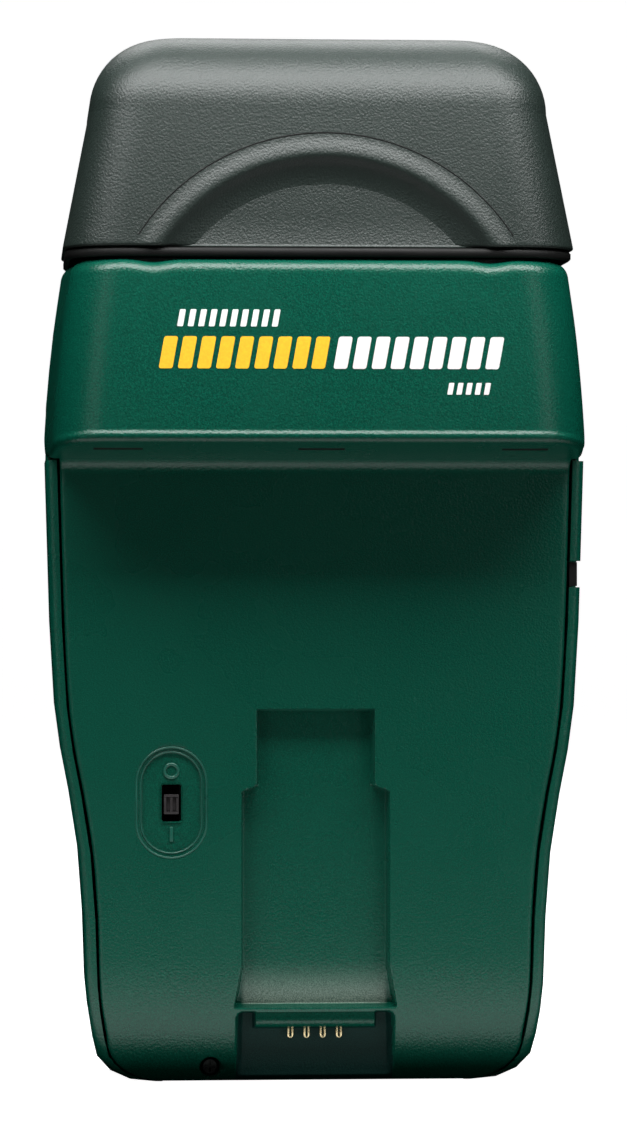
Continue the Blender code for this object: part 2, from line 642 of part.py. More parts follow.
def add_pins():
    """Terminal posts, the nuts that clamp the pins, and the pins themselves."""
    post_profile = ((0.0036, 0.1268), (0.0036, 0.1308), (0.0020, 0.1309), (0.0020, 0.1416))
    post_bore = ((0.0012, 0.1295), (0.0012, 0.145))
    nut_profile = ((COLLET_RADIUS - 0.0002, COLLET_LOW_Z), (COLLET_RADIUS, COLLET_LOW_Z + 0.0004),
                   (COLLET_RADIUS, 0.1408), (0.0034, 0.1434), (0.0026, COLLET_TOP_Z))
    nut_bore = ((POST_HOLE, 0.135), (POST_HOLE, 0.1419), (0.0012, 0.1422), (0.0012, 0.145))
    pin_profile = ((PIN_RADIUS, 0.1298), (PIN_RADIUS, 0.1462), (0.0003, 0.1505), (0.00006, PIN_TIP_Z))
    up = (0, 0, 1)
    for side, x in (("left", -PIN_X), ("right", PIN_X)):
        foot = (x, 0, 0)
        post = turned(f"terminal_{side}", post_profile, foot, up, "nickel")
        combine(post, [turned(f"terminal_bore_{side}", post_bore, foot, up)])
        nut = turned(f"collet_{side}", nut_profile, foot, up, "nickel", sides=24)
        combine(nut, [turned(f"collet_bore_{side}", nut_bore, foot, up)])
        turned(f"pin_{side}", pin_profile, foot, up, "steel", sides=16)
        tube(f"pin_lead_{side}", ((x, 0, 0.1264), (x * 0.98, 0.0012, 0.1235), (x * 0.9, 0.0030, 0.1195),
                                  (x * 0.85, 0.0030, 0.1150), (x * 0.83, 0.0028, 0.1120)), PIN_LEAD_DIAMETER,
             "wire_red" if side == "right" else "wire_black")


# ---- electronics --------------------------------------------------------------------------

def add_electronics():
    """Circuit board with its radio, processor, slide switch, contact block and side jack."""
    low, high = BOARD_Y
    right_edge = [(BOARD_TAIL_HALF_WIDTH, BOARD_Z[0]), (BOARD_TAIL_HALF_WIDTH, BOARD_TAIL_Z),
                  (BOARD_HALF_WIDTH, BOARD_TAIL_Z + 0.003), (BOARD_HALF_WIDTH, BOARD_Z[1])]
    left_edge = [(-x, z) for x, z in reversed(right_edge)]
    plate("main_board", right_edge + left_edge, BOARD_Y, "board_green")

    radio = box("radio_module", (-0.009, 0.009), (high + GAP, high + GAP + 0.0008), (0.082, 0.106),
                "board_green")
    can = box("radio_can", (-0.0075, 0.0075), (high + 0.0007, high + 0.0033), (0.0835, 0.0955), bevel=0.0003)
    combine(radio, [can], "UNION")

    chip = box("processor_chip", (0.003, 0.013), (low - 0.0017, low - 0.0005), (0.0725, 0.0825), "chip_black")
    legs = box("chip_legs", (0.002, 0.014), (low - 0.0007, low - GAP), (0.0735, 0.0815))
    combine(chip, [legs], "UNION")

    body = box("switch_body", (SWITCH_X - 0.0026, SWITCH_X + 0.0026), (-0.0044, low - GAP),
               (SWITCH_Z - 0.0052, SWITCH_Z + 0.0052), "chip_black")
    combine(body, [box("switch_well", (SWITCH_X - 0.0013, SWITCH_X + 0.0013), (-0.008, -0.0022),
                       (SWITCH_Z - 0.0030, SWITCH_Z + 0.0030))])

    block_z = (0.0080, 0.0105)
    box("contact_block", (-0.006, 0.006), (DOCK_BACK_Y + GAP, low - 0.0001), block_z, "chip_black")

    body_half = 0.0034
    nose_half = JACK_NOTCH_HALF - 0.0002
    wall_x = body_half_width(JACK_Z)
    jack = box("probe_jack", (0.026, wall_x - SIDE_WALL - 0.0002), (PANEL_Y + WALL + GAP, low - GAP),
               (JACK_Z - body_half, JACK_Z + body_half), "chip_black")
    nose = box("jack_nose", (0.037, wall_x - 0.0006), (PANEL_Y + WALL + GAP, -0.0011),
               (JACK_Z - nose_half, JACK_Z + nose_half))
    lip = box("jack_lip", (wall_x - SIDE_WALL + 0.0002, wall_x - 0.0006), (PANEL_Y + 0.0005, -0.003),
              (JACK_Z - nose_half, JACK_Z + nose_half))
    combine(jack, [nose, lip], "UNION")
    combine(jack, [turned("jack_socket", ((JACK_BORE, 0.0), (JACK_BORE, 0.02)), (0.029, JACK_Y, JACK_Z),
                          (1, 0, 0), sides=16)])


def add_switch_knob():
    """Slide knob with its stem in the switch, its origin on the middle of its travel axis."""
    low, high = -KNOB_HALF[1], KNOB_HALF[1]
    top = PANEL_Y + 0.0004
    knob = box("switch_knob", (-KNOB_HALF[0], KNOB_HALF[0]), (top, -0.0047), (low, high), "black_plastic")
    stem = box("knob_stem", (-0.0009, 0.0009), (-0.0049, -0.0026), (-0.001, 0.001))
    saddle = box("knob_saddle", (-0.0006, 0.0006), (top - 0.001, top + 0.0005), (-0.0009, 0.0009))
    combine(knob, [stem], "UNION")
    combine(knob, [saddle])
    for piece in (knob, stem, saddle):
        piece.location = (SWITCH_X, 0, KNOB_Z)
    return knob


def contact_outline():
    """(y, z) outline of one bent contact strip, root first."""
    bend = 0.0003
    centre_y, high_z, low_z = -0.0039, 0.0089, 0.0073
    path = [(-0.0017, high_z + bend), (centre_y, high_z + bend)]
    path += [(centre_y - bend * math.sin(math.radians(a)), high_z + bend * math.cos(math.radians(a)))
             for a in (30, 60, 90)]
    path += [(centre_y - bend * math.cos(math.radians(a)), low_z - bend * math.sin(math.radians(a)))
             for a in (0, 30, 60, 90, 120, 150, 180)]
    path += [(centre_y + bend, low_z + 0.0005)]
    half = CONTACT_THICK / 2
    left, right = [], []
    for k, (y, z) in enumerate(path):
        before, after = path[max(k - 1, 0)], path[min(k + 1, len(path) - 1)]
        along = Vector((after[0] - before[0], after[1] - before[1])).normalized()
        left.append((y - along.y * half, z + along.x * half))
        right.append((y + along.y * half, z - along.x * half))
    return left, right


def add_contacts():
    """Four sprung strips under the ledge of the pocket."""
    left, right = contact_outline()
    for k in range(4):
        x = (k - 1.5) * CONTACT_PITCH
        sides = (x - CONTACT_WIDTH / 2, x + CONTACT_WIDTH / 2)
        sections = [[(sides[0], *a), (sides[1], *a), (sides[1], *b), (sides[0], *b)]
                    for a, b in zip(left, right)]
        loft(f"contact_{k + 1}", sections, "gold_plate")


# ---- power --------------------------------------------------------------------------------

def add_battery():
    """9 V block, its snap connector and the two leads to the board."""
    half_x, half_y = BATTERY_HALF
    low, high = BATTERY_Z
    faces_y = (BATTERY_Y - half_y, BATTERY_Y + half_y)
    battery = box("battery_9v", (-half_x, half_x), faces_y, BATTERY_Z, "battery_wrap", bevel=0.0012)
    studs = [turned(f"battery_stud_{k}", ((radius, -0.001), (radius, 0.0026)), (x, BATTERY_Y, high),
                    (0, 0, 1))
             for k, (x, radius) in enumerate(((-0.0064, 0.0029), (0.0064, 0.0038)), start=1)]
    combine(battery, studs, "UNION")
    snap = box("battery_snap", (-0.0128, 0.0128), (BATTERY_Y - 0.0078, BATTERY_Y + 0.0078),
               (high + GAP, high + 0.0046), "black_plastic", bevel=0.0006)
    wells = [turned(f"snap_well_{k}", ((0.0042, -0.002), (0.0042, 0.0030)), (x, BATTERY_Y, high), (0, 0, 1))
             for k, x in enumerate((-0.0064, 0.0064), start=1)]
    combine(snap, wells)
    top = high + 0.0046 + GAP
    for name, x in (("battery_lead_black", -0.004), ("battery_lead_red", 0.004)):
        tube(name, ((x, BATTERY_Y, top + 0.0004), (x * 1.1, BATTERY_Y - 0.001, top + 0.004),
                    (x * 1.8, BATTERY_Y - 0.004, top + 0.009), (x * 2.6, 0.0042, top + 0.013),
                    (x * 3.0, 0.0028, top + 0.018)), BATTERY_LEAD_DIAMETER,
             "wire_black" if x < 0 else "wire_red")


def add_screws():
    """Four case screws from behind and the small screw in the chin."""
    for k, (x, z) in enumerate(CASE_SCREWS, start=1):
        profile = ((0.0010, -0.012), (0.0011, -0.011), (0.0011, 0.0001), (0.0023, 0.0001), (0.0023, 0.0011),
                   (0.0017, 0.0018))
        screw = turned(f"case_screw_{k}", profile, (x, SCREW_SEAT_Y + 0.0001, z), (0, 1, 0), "steel")
        for name, arm in (("across", (0.0012, 0.0003)), ("upright", (0.0003, 0.0012))):
            slot = box(f"screw_{k}_{name}", (x - arm[0], x + arm[0]),
                       (SCREW_SEAT_Y + 0.0010, SCREW_SEAT_Y + 0.004), (z - arm[1], z + arm[1]))
            combine(screw, [slot])
    x, z = CHIN_SCREW
    seat = CHIN_SCREW_SEAT_Y - 0.0001
    screw = turned("chin_screw", ((0.0007, -0.0078), (0.0007, -0.0001), (0.00145, -0.0001), (0.00145, 0.0008),
                                  (0.0011, 0.0012)), (x, seat, z), (0, -1, 0), "steel", sides=16)
    for name, arm in (("across", (0.0009, 0.0002)), ("upright", (0.0002, 0.0009))):
        slot = box(f"chin_screw_{name}", (x - arm[0], x + arm[0]), (seat - 0.003, seat - 0.0006),
                   (z - arm[1], z + arm[1]))
        combine(screw, [slot])


def settle():
    """Apply every piece's cuts and joins, sharpen its real edges, and drop the tools."""
    graph = bpy.context.evaluated_depsgraph_get()
    pieces = [obj for obj in bpy.data.objects if obj.type == "MESH" and not obj.hide_render]
    meshes = [bpy.data.meshes.new_from_object(obj.evaluated_get(graph)) for obj in pieces]
    for obj, mesh in zip(pieces, meshes):
        mesh.shade_smooth()
        mesh.set_sharp_from_angle(angle=math.radians(30.0))
        obj.modifiers.clear()
        obj.data = mesh
    for tool in [obj for obj in bpy.data.objects if obj.hide_render]:
        bpy.data.objects.remove(tool, do_unlink=True)


def clear_scene():
    """Start from an empty scene."""
    for obj in list(bpy.data.objects):
        bpy.data.objects.remove(obj, do_unlink=True)


def main():
    """Build every piece of the meter."""
    clear_scene()
    add_front_case()
    add_back_case()
    add_battery_door()
    add_pin_cap()
    add_pin_block()
    add_pins()
    add_electronics()
    add_switch_knob()
    add_contacts()
    add_battery()
    add_screws()
    settle()


main()
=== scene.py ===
"""Looks of the pin moisture meter: moulded shells, cap, dock contacts, pins and print, in metres."""
import math

import bmesh
import bpy
import numpy as np
from mathutils import Matrix, Vector


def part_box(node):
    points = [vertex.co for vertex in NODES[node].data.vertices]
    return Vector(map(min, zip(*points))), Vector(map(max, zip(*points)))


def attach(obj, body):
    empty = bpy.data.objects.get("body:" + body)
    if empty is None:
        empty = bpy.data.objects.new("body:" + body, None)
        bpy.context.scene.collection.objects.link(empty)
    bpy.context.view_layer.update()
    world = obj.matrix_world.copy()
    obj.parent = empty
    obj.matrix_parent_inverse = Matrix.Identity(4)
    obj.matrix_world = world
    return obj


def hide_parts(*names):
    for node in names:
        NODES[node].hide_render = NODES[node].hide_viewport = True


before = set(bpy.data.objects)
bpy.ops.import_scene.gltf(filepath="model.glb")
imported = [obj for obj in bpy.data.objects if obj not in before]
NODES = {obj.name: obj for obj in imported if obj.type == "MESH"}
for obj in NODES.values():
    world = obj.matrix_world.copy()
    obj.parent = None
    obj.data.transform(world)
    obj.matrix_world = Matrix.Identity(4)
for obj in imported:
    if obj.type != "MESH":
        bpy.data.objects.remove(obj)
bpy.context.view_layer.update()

# ---- driving sizes, the same as the model's -----------------------------------------------

FRONT_LOW, FRONT_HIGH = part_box("front_case")
CAP_LOW, CAP_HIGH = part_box("pin_cap")

HEAD_FRONT_Y = FRONT_LOW[1]
HEAD_TOP_Z = FRONT_HIGH[2]
PANEL_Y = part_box("back_case")[0][1]
SPLIT_Y = -0.00215
SHOULDER_Z = 0.0975
SHOULDER_RISE = 0.162
COVE_RADIUS = 0.0024
CHIN_TOP = 0.020
CHIN_DEPTH = 0.006
WALL = 0.0022
SIDE_WALL = 0.002
SEAM = 0.00045

FOOT_HALF_WIDTH = 0.0255
FOOT_ARC_HEIGHT = 0.007
FOOT_ARC_WIDTH = 0.0092
BODY_OUTLINE = (
    (0.007, 0.0347),
    (0.014, 0.0357),
    (0.026, 0.03615),
    (0.036, 0.0369),
    (0.045, 0.0383),
    (0.052, 0.03965),
    (0.059, 0.0406),
    (0.072, 0.04135),
    (0.0972, 0.0421),
)
HEAD_OUTLINE = (
    (0.0972, 0.0420),
    (0.101, 0.0422),
    (0.1154, 0.0410),
    (0.1276, 0.0393),
)
HEAD_CORNER = 0.0085
HEAD_EDGE = 0.0022
HEAD_DRAFT = 0.0011
SHOULDER_EDGE = 0.0010
TONGUE_INSET = 0.0023
TONGUE_DEPTH = 0.0020
LIP = 0.00035
LIP_HEIGHT = 0.0009
HEAD_UNDERSIDE_INSETS = (0.0136, 0.010, 0.007, 0.004, 0.002)
HEAD_RIM_INSETS = (0.0028, 0.0033)
HEAD_RIM_DEPTH = 0.003
TOP_DIP = 0.0005
TOP_DIP_X = 0.0258
TOP_DIP_WIDTH = 0.0024
TOP_DIP_BACK_Y = -0.012

CAP_ARC = 0.0119
CAP_ARC_Z = CAP_HIGH[2] - CAP_ARC
CAP_ARC_HALF_WIDTH = 0.0354
CAP_ARC_HALF_DEPTH = 0.0212
CAP_WALL = 0.0018
CAP_CORNER = 0.009
CAP_RIM_ROLL = 0.0004
CAP_INNER_RINGS_Z = (0.144, 0.138, 0.134)
COLLAR_INSET = 0.0004
GRIP_CENTRE = (0.0006, 0.1130)
GRIP_RADIUS = 0.0303
GRIP_LINE = 0.0036
GRIP_BEAD = 0.00045
GRIP_DROP = 0.0025
GRIP_SLOPE = 0.0074
GRIP_BOWL = 0.0003

CHANNEL_NARROW = 0.00905
CHANNEL_WIDE = 0.01135
CHANNEL_FLARE = 0.01255
CHANNEL_TOP_Z = 0.0583
CHANNEL_STEP_Z = 0.0461
CHANNEL_FLARE_Z = 0.0185
CHANNEL_END_Z = 0.0121
CHANNEL_FLOOR_Y = -0.0039
CHANNEL_END_Y = -0.0032
CHANNEL_BEND_Z = CHANNEL_FLARE_Z + 0.0015
POCKET_TOP_Z = 0.0112
POCKET_HALF = 0.01255
POCKET_SLOPE = 0.0014
POCKET_CORNER = 0.0014
POCKET_FLOOR_Y = -0.0029
POCKET_SHADE_BELOW = 0.0007
POCKET_LOW_Z = 0.0042
LEDGE_HALF = 0.0095
LEDGE_LOW_Z = 0.0086
LEDGE_FRONT_Y = -0.0054
LEDGE_ROLL = 0.0012
LEDGE_LEAN = 0.0004
PANEL_EDGE_ROLL = 0.0006
PANEL_PLAIN = 0.016
PANEL_SIDE = 0.0288
PANEL_EDGE = 0.032
PANEL_STEP = 0.0006
PANEL_FINE_STEP = 0.00016
EDGE_SOFT = 0.00022

SWITCH_X = -0.0225
SWITCH_Z = 0.0439
SLOT_HALF = (0.001575, 0.0029)
SLOT_CORNER = 0.0004
OVAL_Z = 0.0440
OVAL_OUTER = (0.00545, 0.0086)
OVAL_INNER = (0.00475, 0.0079)
OVAL_OUTER_DEPTH = 0.00022
OVAL_INNER_DEPTH = 0.00034
OVAL_SOFT = 0.00016
KNOB_LOW, KNOB_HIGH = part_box("switch_knob")
CHIN_SCREW = (-0.0163, 0.0024)
CHIN_SCREW_RADIUS = 0.0016
CHIN_SCREW_FLOOR_Y = -0.0009


# ---- outlines -----------------------------------------------------------------------------

def smooth_value(outline, z):
    """A smooth curve through (z, value) points, by cubic Hermite pieces."""
    z = min(max(z, outline[0][0]), outline[-1][0])
    last = len(outline) - 2
    k = 0
    while k < last and z > outline[k + 1][0]:
        k += 1
    (z0, v0), (z1, v1) = outline[k], outline[k + 1]

    def slope(i):
        low, high = outline[max(i - 1, 0)], outline[min(i + 1, last + 1)]
        return (high[1] - low[1]) / (high[0] - low[0])

    span = z1 - z0
    t = (z - z0) / span
    return ((2 * t ** 3 - 3 * t ** 2 + 1) * v0 + (t ** 3 - 2 * t ** 2 + t) * span * slope(k)
            + (3 * t ** 2 - 2 * t ** 3) * v1 + (t ** 3 - t ** 2) * span * slope(k + 1))


def body_half_width(z):
    """Half width of the handle, with elliptical corners at the foot."""
    if z < FOOT_ARC_HEIGHT:
        drop = 1 - max(z, 0.0) / FOOT_ARC_HEIGHT
        return FOOT_HALF_WIDTH + FOOT_ARC_WIDTH * math.sqrt(1 - drop * drop)
    return smooth_value(BODY_OUTLINE, z)


def head_half_width(z):
    """Half width of the head."""
    return smooth_value(HEAD_OUTLINE, z)


def front_y(z):
    """Front surface of the handle: the flat panel, then the receding chin."""
    if z >= CHIN_TOP:
        return PANEL_Y
    drop = 1 - max(z, 0.0) / CHIN_TOP
    return PANEL_Y + CHIN_DEPTH * (1 - math.sqrt(1 - drop * drop))


def ease(value, low, high):
    """0 below low, 1 above high, and a smooth step between."""
    t = np.clip((value - low) / (high - low), 0.0, 1.0)
    return t * t * (3 - 2 * t)


def arc(steps, start=0.0, end=90.0):
    """Angles in radians, both ends included."""
    return [math.radians(start + (end - start) * k / steps) for k in range(steps + 1)]


def spread(low, high, step, fine=(), fine_step=0.0002):
    """Sorted places from low to high, at step apart and closer inside the fine stretches."""
    places = [low]
    while places[-1] < high - 1e-7:
        here = places[-1]
        inside = any(a - 1e-7 <= here < b - 1e-7 for a, b in fine)
        ahead = [a for a, _ in fine if a > here + 1e-7] + [b for _, b in fine if b > here + 1e-7] + [high]
        places.append(min(here + (fine_step if inside else step), min(ahead)))
    return places


# ---- meshes -------------------------------------------------------------------------------

def link(name, mesh, body, material, angle=40.0):
    """Link a mesh as a piece that rides on a body."""
    mesh.shade_smooth()
    mesh.set_sharp_from_angle(angle=math.radians(angle))
    mesh.materials.append(material)
    obj = bpy.data.objects.new(name, mesh)
    bpy.context.scene.collection.objects.link(obj)
    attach(obj, body)
    return obj


def grid_mesh(name, points, wrap=False, ends=(False, False), drop=None):
    """A mesh of quads over rows of points; ends close a row to its middle; drop removes faces."""
    points = np.asarray(points, dtype=float)
    rows, columns = points.shape[:2]
    verts = points.reshape(-1, 3)
    index = np.arange(rows * columns).reshape(rows, columns)
    right = np.roll(index, -1, axis=1) if wrap else index[:, 1:]
    left = index if wrap else index[:, :-1]
    quads = np.stack((left[:-1], right[:-1], right[1:], left[1:]), axis=-1).reshape(-1, 4)
    if drop is not None:
        middle = verts[quads].mean(axis=1)
        quads = quads[~drop(middle)]
    faces = [tuple(q) for q in quads.tolist()]
    verts = verts.tolist()
    for close, row in zip(ends, (index[0], index[-1])):
        if close:
            verts.append(np.mean([verts[k] for k in row], axis=0).tolist())
            hub = len(verts) - 1
            ring = list(row)
            pairs = zip(ring, ring[1:] + ring[:1])
            faces += [(hub, b, a) if row is index[0] else (hub, a, b) for a, b in pairs]
    mesh = bpy.data.meshes.new(name)
    mesh.from_pydata(verts, [], [tuple(int(i) for i in f) for f in faces])
    mesh.validate()
    return mesh


def join_meshes(name, meshes):
    """One mesh out of several, with faces turned outward on each closed part."""
    bm = bmesh.new()
    for mesh in meshes:
        bm.from_mesh(mesh)
        bpy.data.meshes.remove(mesh)
    bmesh.ops.recalc_face_normals(bm, faces=bm.faces)
    joined = bpy.data.meshes.new(name)
    bm.to_mesh(joined)
    bm.free()
    return joined


# ---- materials ----------------------------------------------------------------------------

class Shader:
    """A Principled material and short helpers for the nodes that feed it."""

    def __init__(self, name, colour, roughness, metallic=0.0, specular=0.5):
        self.material = bpy.data.materials.new(name)
        self.material.use_nodes = True
        self.tree = self.material.node_tree
        self.base = self.tree.nodes["Principled BSDF"]
        self.set("Base Color", (*colour, 1.0))
        self.set("Roughness", roughness)
        self.set("Metallic", metallic)
        self.set("Specular IOR Level", specular)
        self.place = self.tree.nodes.new("ShaderNodeTexCoord").outputs["Object"]
        self.height = None

    def set(self, socket, value):
        self.base.inputs[socket].default_value = value

    def wire(self, source, target):
        self.tree.links.new(source, target)

    def noise(self, size, detail=2.0, roughness=0.5, stretch=(1.0, 1.0, 1.0)):
        """Noise whose grain is about size metres."""
        node = self.tree.nodes.new("ShaderNodeTexNoise")
        node.inputs["Scale"].default_value = 1.0 / size
        node.inputs["Detail"].default_value = detail
        node.inputs["Roughness"].default_value = roughness
        mapping = self.tree.nodes.new("ShaderNodeMapping")
        mapping.inputs["Scale"].default_value = stretch
        self.wire(self.place, mapping.inputs["Vector"])
        self.wire(mapping.outputs["Vector"], node.inputs["Vector"])
        return node.outputs["Fac"]

    def cells(self, size):
        """Round cells about size metres across, for a pebbled grain."""
        node = self.tree.nodes.new("ShaderNodeTexVoronoi")
        node.feature = "SMOOTH_F1"
        node.inputs["Scale"].default_value = 1.0 / size
        node.inputs["Smoothness"].default_value = 0.6
        self.wire(self.place, node.inputs["Vector"])
        return node.outputs["Distance"]

    def remap(self, source, low, high, start=0.3, end=0.7):
        """source from start..end onto low..high."""
        node = self.tree.nodes.new("ShaderNodeMapRange")
        for socket, value in (("From Min", start), ("From Max", end), ("To Min", low), ("To Max", high)):
            node.inputs[socket].default_value = value
        self.wire(source, node.inputs["Value"])
        return node.outputs["Result"]

    def math(self, kind, a, b):
        node = self.tree.nodes.new("ShaderNodeMath")
        node.operation = kind
        for socket, value in zip(node.inputs, (a, b)):
            if isinstance(value, (int, float)):
                socket.default_value = value
            else:
                self.wire(value, socket)
        return node.outputs["Value"]

    def mix_colour(self, factor, first, second):
        node = self.tree.nodes.new("ShaderNodeMix")
        node.data_type = "RGBA"
        self.wire(factor, node.inputs["Factor"])
        for socket, value in ((node.inputs[6], first), (node.inputs[7], second)):
            if isinstance(value, tuple):
                socket.default_value = (*value, 1.0)
            else:
                self.wire(value, socket)
        return node.outputs[2]

    def bump(self, source, distance):
        node = self.tree.nodes.new("ShaderNodeBump")
        node.inputs["Strength"].default_value = 1.0
        node.inputs["Distance"].default_value = distance
        self.wire(source, node.inputs["Height"])
        if self.height:
            self.wire(self.height, node.inputs["Normal"])
        self.height = node.outputs["Normal"]
        self.wire(self.height, self.base.inputs["Normal"])

    def colour_from(self, source):
        self.wire(source, self.base.inputs["Base Color"])

    def colour_between(self, source, first, second, start=0.3, end=0.7):
        """Base colour from first to second as source runs from start to end."""
        self.colour_from(self.mix_colour(self.remap(source, 0.0, 1.0, start, end), first, second))

    def roughness_from(self, source):
        self.wire(source, self.base.inputs["Roughness"])


def scaled(colour, factor):
    return tuple(channel * factor for channel in colour)


def grained_plastic(name, colour, roughness, grain, depth, specular, painted_highlight=None):
    """Moulded plastic with a spark-eroded grain; the last argument is (low, high, colour) of a painted
    highlight, a lighter patch standing in for light a surface catches.
    """
    shader = Shader(name, colour, roughness, specular=specular)
    pebble = shader.cells(grain)
    fine = shader.noise(grain * 0.45, detail=3.0, roughness=0.6)
    height = shader.math("ADD", shader.math("MULTIPLY", pebble, -0.8), shader.math("MULTIPLY", fine, 0.7))
    shader.bump(height, depth)
    cloud = shader.noise(0.018, detail=3.0)
    tint = shader.mix_colour(shader.remap(cloud, 0.0, 1.0), scaled(colour, 0.95), scaled(colour, 1.05))
    # Lighter specks at 2.1 times the colour: painted glints standing in for the sparkle off the grain's
    # facets.
    painted_glints = shader.remap(fine, 0.0, 1.0, start=0.40, end=0.72)
    tone = shader.mix_colour(painted_glints, tint, scaled(colour, 2.1))
    # Painted highlight: a lighter grainy patch, strongest at its low end, standing in for the top light
    # falling on the channel's ramp.
    if painted_highlight:
        low, high, highlight_colour = painted_highlight
        split = shader.tree.nodes.new("ShaderNodeSeparateXYZ")
        shader.wire(shader.place, split.inputs["Vector"])
        x, y, z = split.outputs
        rise = shader.remap(z, 0.0, 1.0, start=high[2], end=low[2])
        highlight_mask = shader.math("MULTIPLY", rise, rise)
        for source, start, end in ((shader.math("ABSOLUTE", x, 0.0), high[0], high[0] - 0.0006),
                                   (y, low[1], low[1] + 0.0003), (z, low[2] - 0.0002, low[2])):
            highlight_mask = shader.math("MULTIPLY", highlight_mask, shader.remap(source, 0.0, 1.0, start=start, end=end))
        highlight_mask = shader.math("MULTIPLY", highlight_mask, shader.remap(fine, 0.35, 1.0, start=0.38, end=0.62))
        tone = shader.mix_colour(highlight_mask, tone, highlight_colour)
    shader.colour_from(tone)
    shader.roughness_from(shader.remap(cloud, roughness - 0.02, roughness + 0.02))
    return shader.material


def smooth_plastic(name, colour, roughness, specular=0.5):
    """Smooth moulded plastic with a faint surface."""
    shader = Shader(name, colour, roughness, specular=specular)
    fine = shader.noise(0.0003, detail=2.0)
    shader.bump(fine, 0.00001)
    cloud = shader.noise(0.006)
    shader.colour_between(cloud, scaled(colour, 0.85), scaled(colour, 1.2))
    shader.roughness_from(shader.remap(cloud, roughness - 0.05, roughness + 0.08))
    return shader.material


def plated_metal(name, colour, roughness, stretch=(1.0, 1.0, 1.0)):
    """Plated or turned metal with fine tool marks."""
    shader = Shader(name, colour, roughness, metallic=1.0)
    marks = shader.noise(0.0004, detail=3.0, stretch=stretch)
    shader.bump(marks, 0.000004)
    shader.colour_between(marks, scaled(colour, 0.86), scaled(colour, 1.05))
    shader.roughness_from(shader.remap(marks, roughness - 0.06, roughness + 0.10))
    return shader.material


def printed_ink(name, colour):
    """Screen-printed ink over grained plastic: the grain shows through."""
    shader = Shader(name, colour, 0.5)
    grain = shader.noise(0.0004, detail=3.0)
    shader.bump(grain, 0.00003)
    shader.colour_between(grain, scaled(colour, 0.84), colour, start=0.25, end=0.75)
    return shader.material


def circuit_board():
    """Green solder mask with copper tracks and vias under it."""
    mask, copper = (0.010, 0.120, 0.045), (0.030, 0.230, 0.080)
    shader = Shader("circuit_board", mask, 0.35)
    lines = shader.noise(0.0022, detail=1.0, stretch=(1.0, 1.0, 0.15))
    band = shader.remap(lines, 0.0, 1.0, 0.49, 0.51)
    shader.colour_from(shader.mix_colour(band, mask, copper))
    shader.bump(band, 0.00003)
    shader.roughness_from(shader.remap(lines, 0.30, 0.42))
    return shader.material


def battery_film():
    """Plain printed metal film, dark with a copper-coloured end band."""
    dark, band = (0.020, 0.022, 0.026), (0.55, 0.27, 0.10)
    shader = Shader("battery_film", dark, 0.28, metallic=0.6)
    split = shader.tree.nodes.new("ShaderNodeSeparateXYZ")
    shader.wire(shader.place, split.inputs["Vector"])
    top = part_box("battery_9v")[1][2]
    edge = shader.remap(split.outputs["Z"], 0.0, 1.0, top - 0.0155, top - 0.0153)
    shader.colour_from(shader.mix_colour(edge, dark, band))
    wrinkle = shader.noise(0.004, detail=2.0)
    shader.bump(wrinkle, 0.00005)
    shader.roughness_from(shader.remap(wrinkle, 0.22, 0.36))
    return shader.material


HOUSING = ((0.0010, 0.047, 0.0290), 0.27, 0.00038, 0.00005, 0.38)
# Painted highlight on the dock channel's lower ramp, where the top light falls: the patch's corners and its
# colour.
RAMP_PAINTED_HIGHLIGHT = ((-0.0115, -0.0058, 0.0124), (0.0115, 0.0, 0.0195), (0.28, 0.36, 0.30))

GREEN = grained_plastic("green_grain", *HOUSING)
GREEN_FRONT = grained_plastic("green_front", *HOUSING, painted_highlight=RAMP_PAINTED_HIGHLIGHT)
# Painted highlight: a lighter, smoother green for the switch marks, standing in for the light their edges
# catch.
GREEN_PAINTED_HIGHLIGHT = smooth_plastic("green_painted_highlight", (0.006, 0.085, 0.058), 0.30)
# Painted shade: a darker, duller green for the contact pocket's floor, standing in for the shadow under the
# ledge.
POCKET_PAINTED_SHADE = grained_plastic("pocket_shade", (0.0040, 0.023, 0.0195), 0.5, 0.00036, 0.00004, specular=0.15)
BLACK = grained_plastic("black_grain", (0.0085, 0.0140, 0.0118), 0.42, 0.00036, 0.00006, specular=0.46)
BLACK_SMOOTH = smooth_plastic("black_smooth", (0.024, 0.021, 0.022), 0.38)
BLACK_DULL = smooth_plastic("black_dull", (0.0055, 0.0058, 0.0056), 0.55, specular=0.2)
GOLD = plated_metal("gold_plate", (1.0, 0.84, 0.50), 0.26)
NICKEL = plated_metal("nickel_plate", (0.72, 0.70, 0.66), 0.26, stretch=(1.0, 1.0, 4.0))
STEEL = plated_metal("bright_steel", (0.62, 0.62, 0.61), 0.24, stretch=(1.0, 1.0, 5.0))
DARK_STEEL = plated_metal("black_oxide", (0.035, 0.040, 0.038), 0.45)
WHITE_INK = printed_ink("white_ink", (0.88, 0.88, 0.86))
YELLOW_INK = printed_ink("yellow_ink", (0.95, 0.52, 0.020))
BOARD = circuit_board()
FILM = battery_film()
RED_WIRE = smooth_plastic("red_wire", (0.45, 0.020, 0.018), 0.45)
BLACK_WIRE = smooth_plastic("black_wire", (0.015, 0.015, 0.015), 0.45)


# ---- cap ----------------------------------------------------------------------------------

def cap_grip(x, z):
    """How far the cap's face stands out: a rounded bead round a sunken thumb rest."""
    out = np.hypot(x - GRIP_CENTRE[0], z - GRIP_CENTRE[1]) - GRIP_RADIUS
    bead = GRIP_BEAD * ease(-out, -0.0034, -0.0006)
    slide = np.clip((0.0004 - out) / GRIP_SLOPE, 0.0, 1.0)
    drop = GRIP_DROP * (1 - (1 - slide) ** 2.4) * ease(slide, -0.12, 0.22)
    bowl = GRIP_BOWL * np.clip(-out / GRIP_RADIUS - 0.17, 0, 1)
    return bead - drop - bowl


def loop_columns(across, corner, side):
    """(segment, fraction) pairs round a rounded rectangle, from the front right corner's end."""
    counts = (across, corner, side, corner, across, corner, side, corner)
    return [(segment, k / count) for segment, count in enumerate(counts) for k in range(count)]


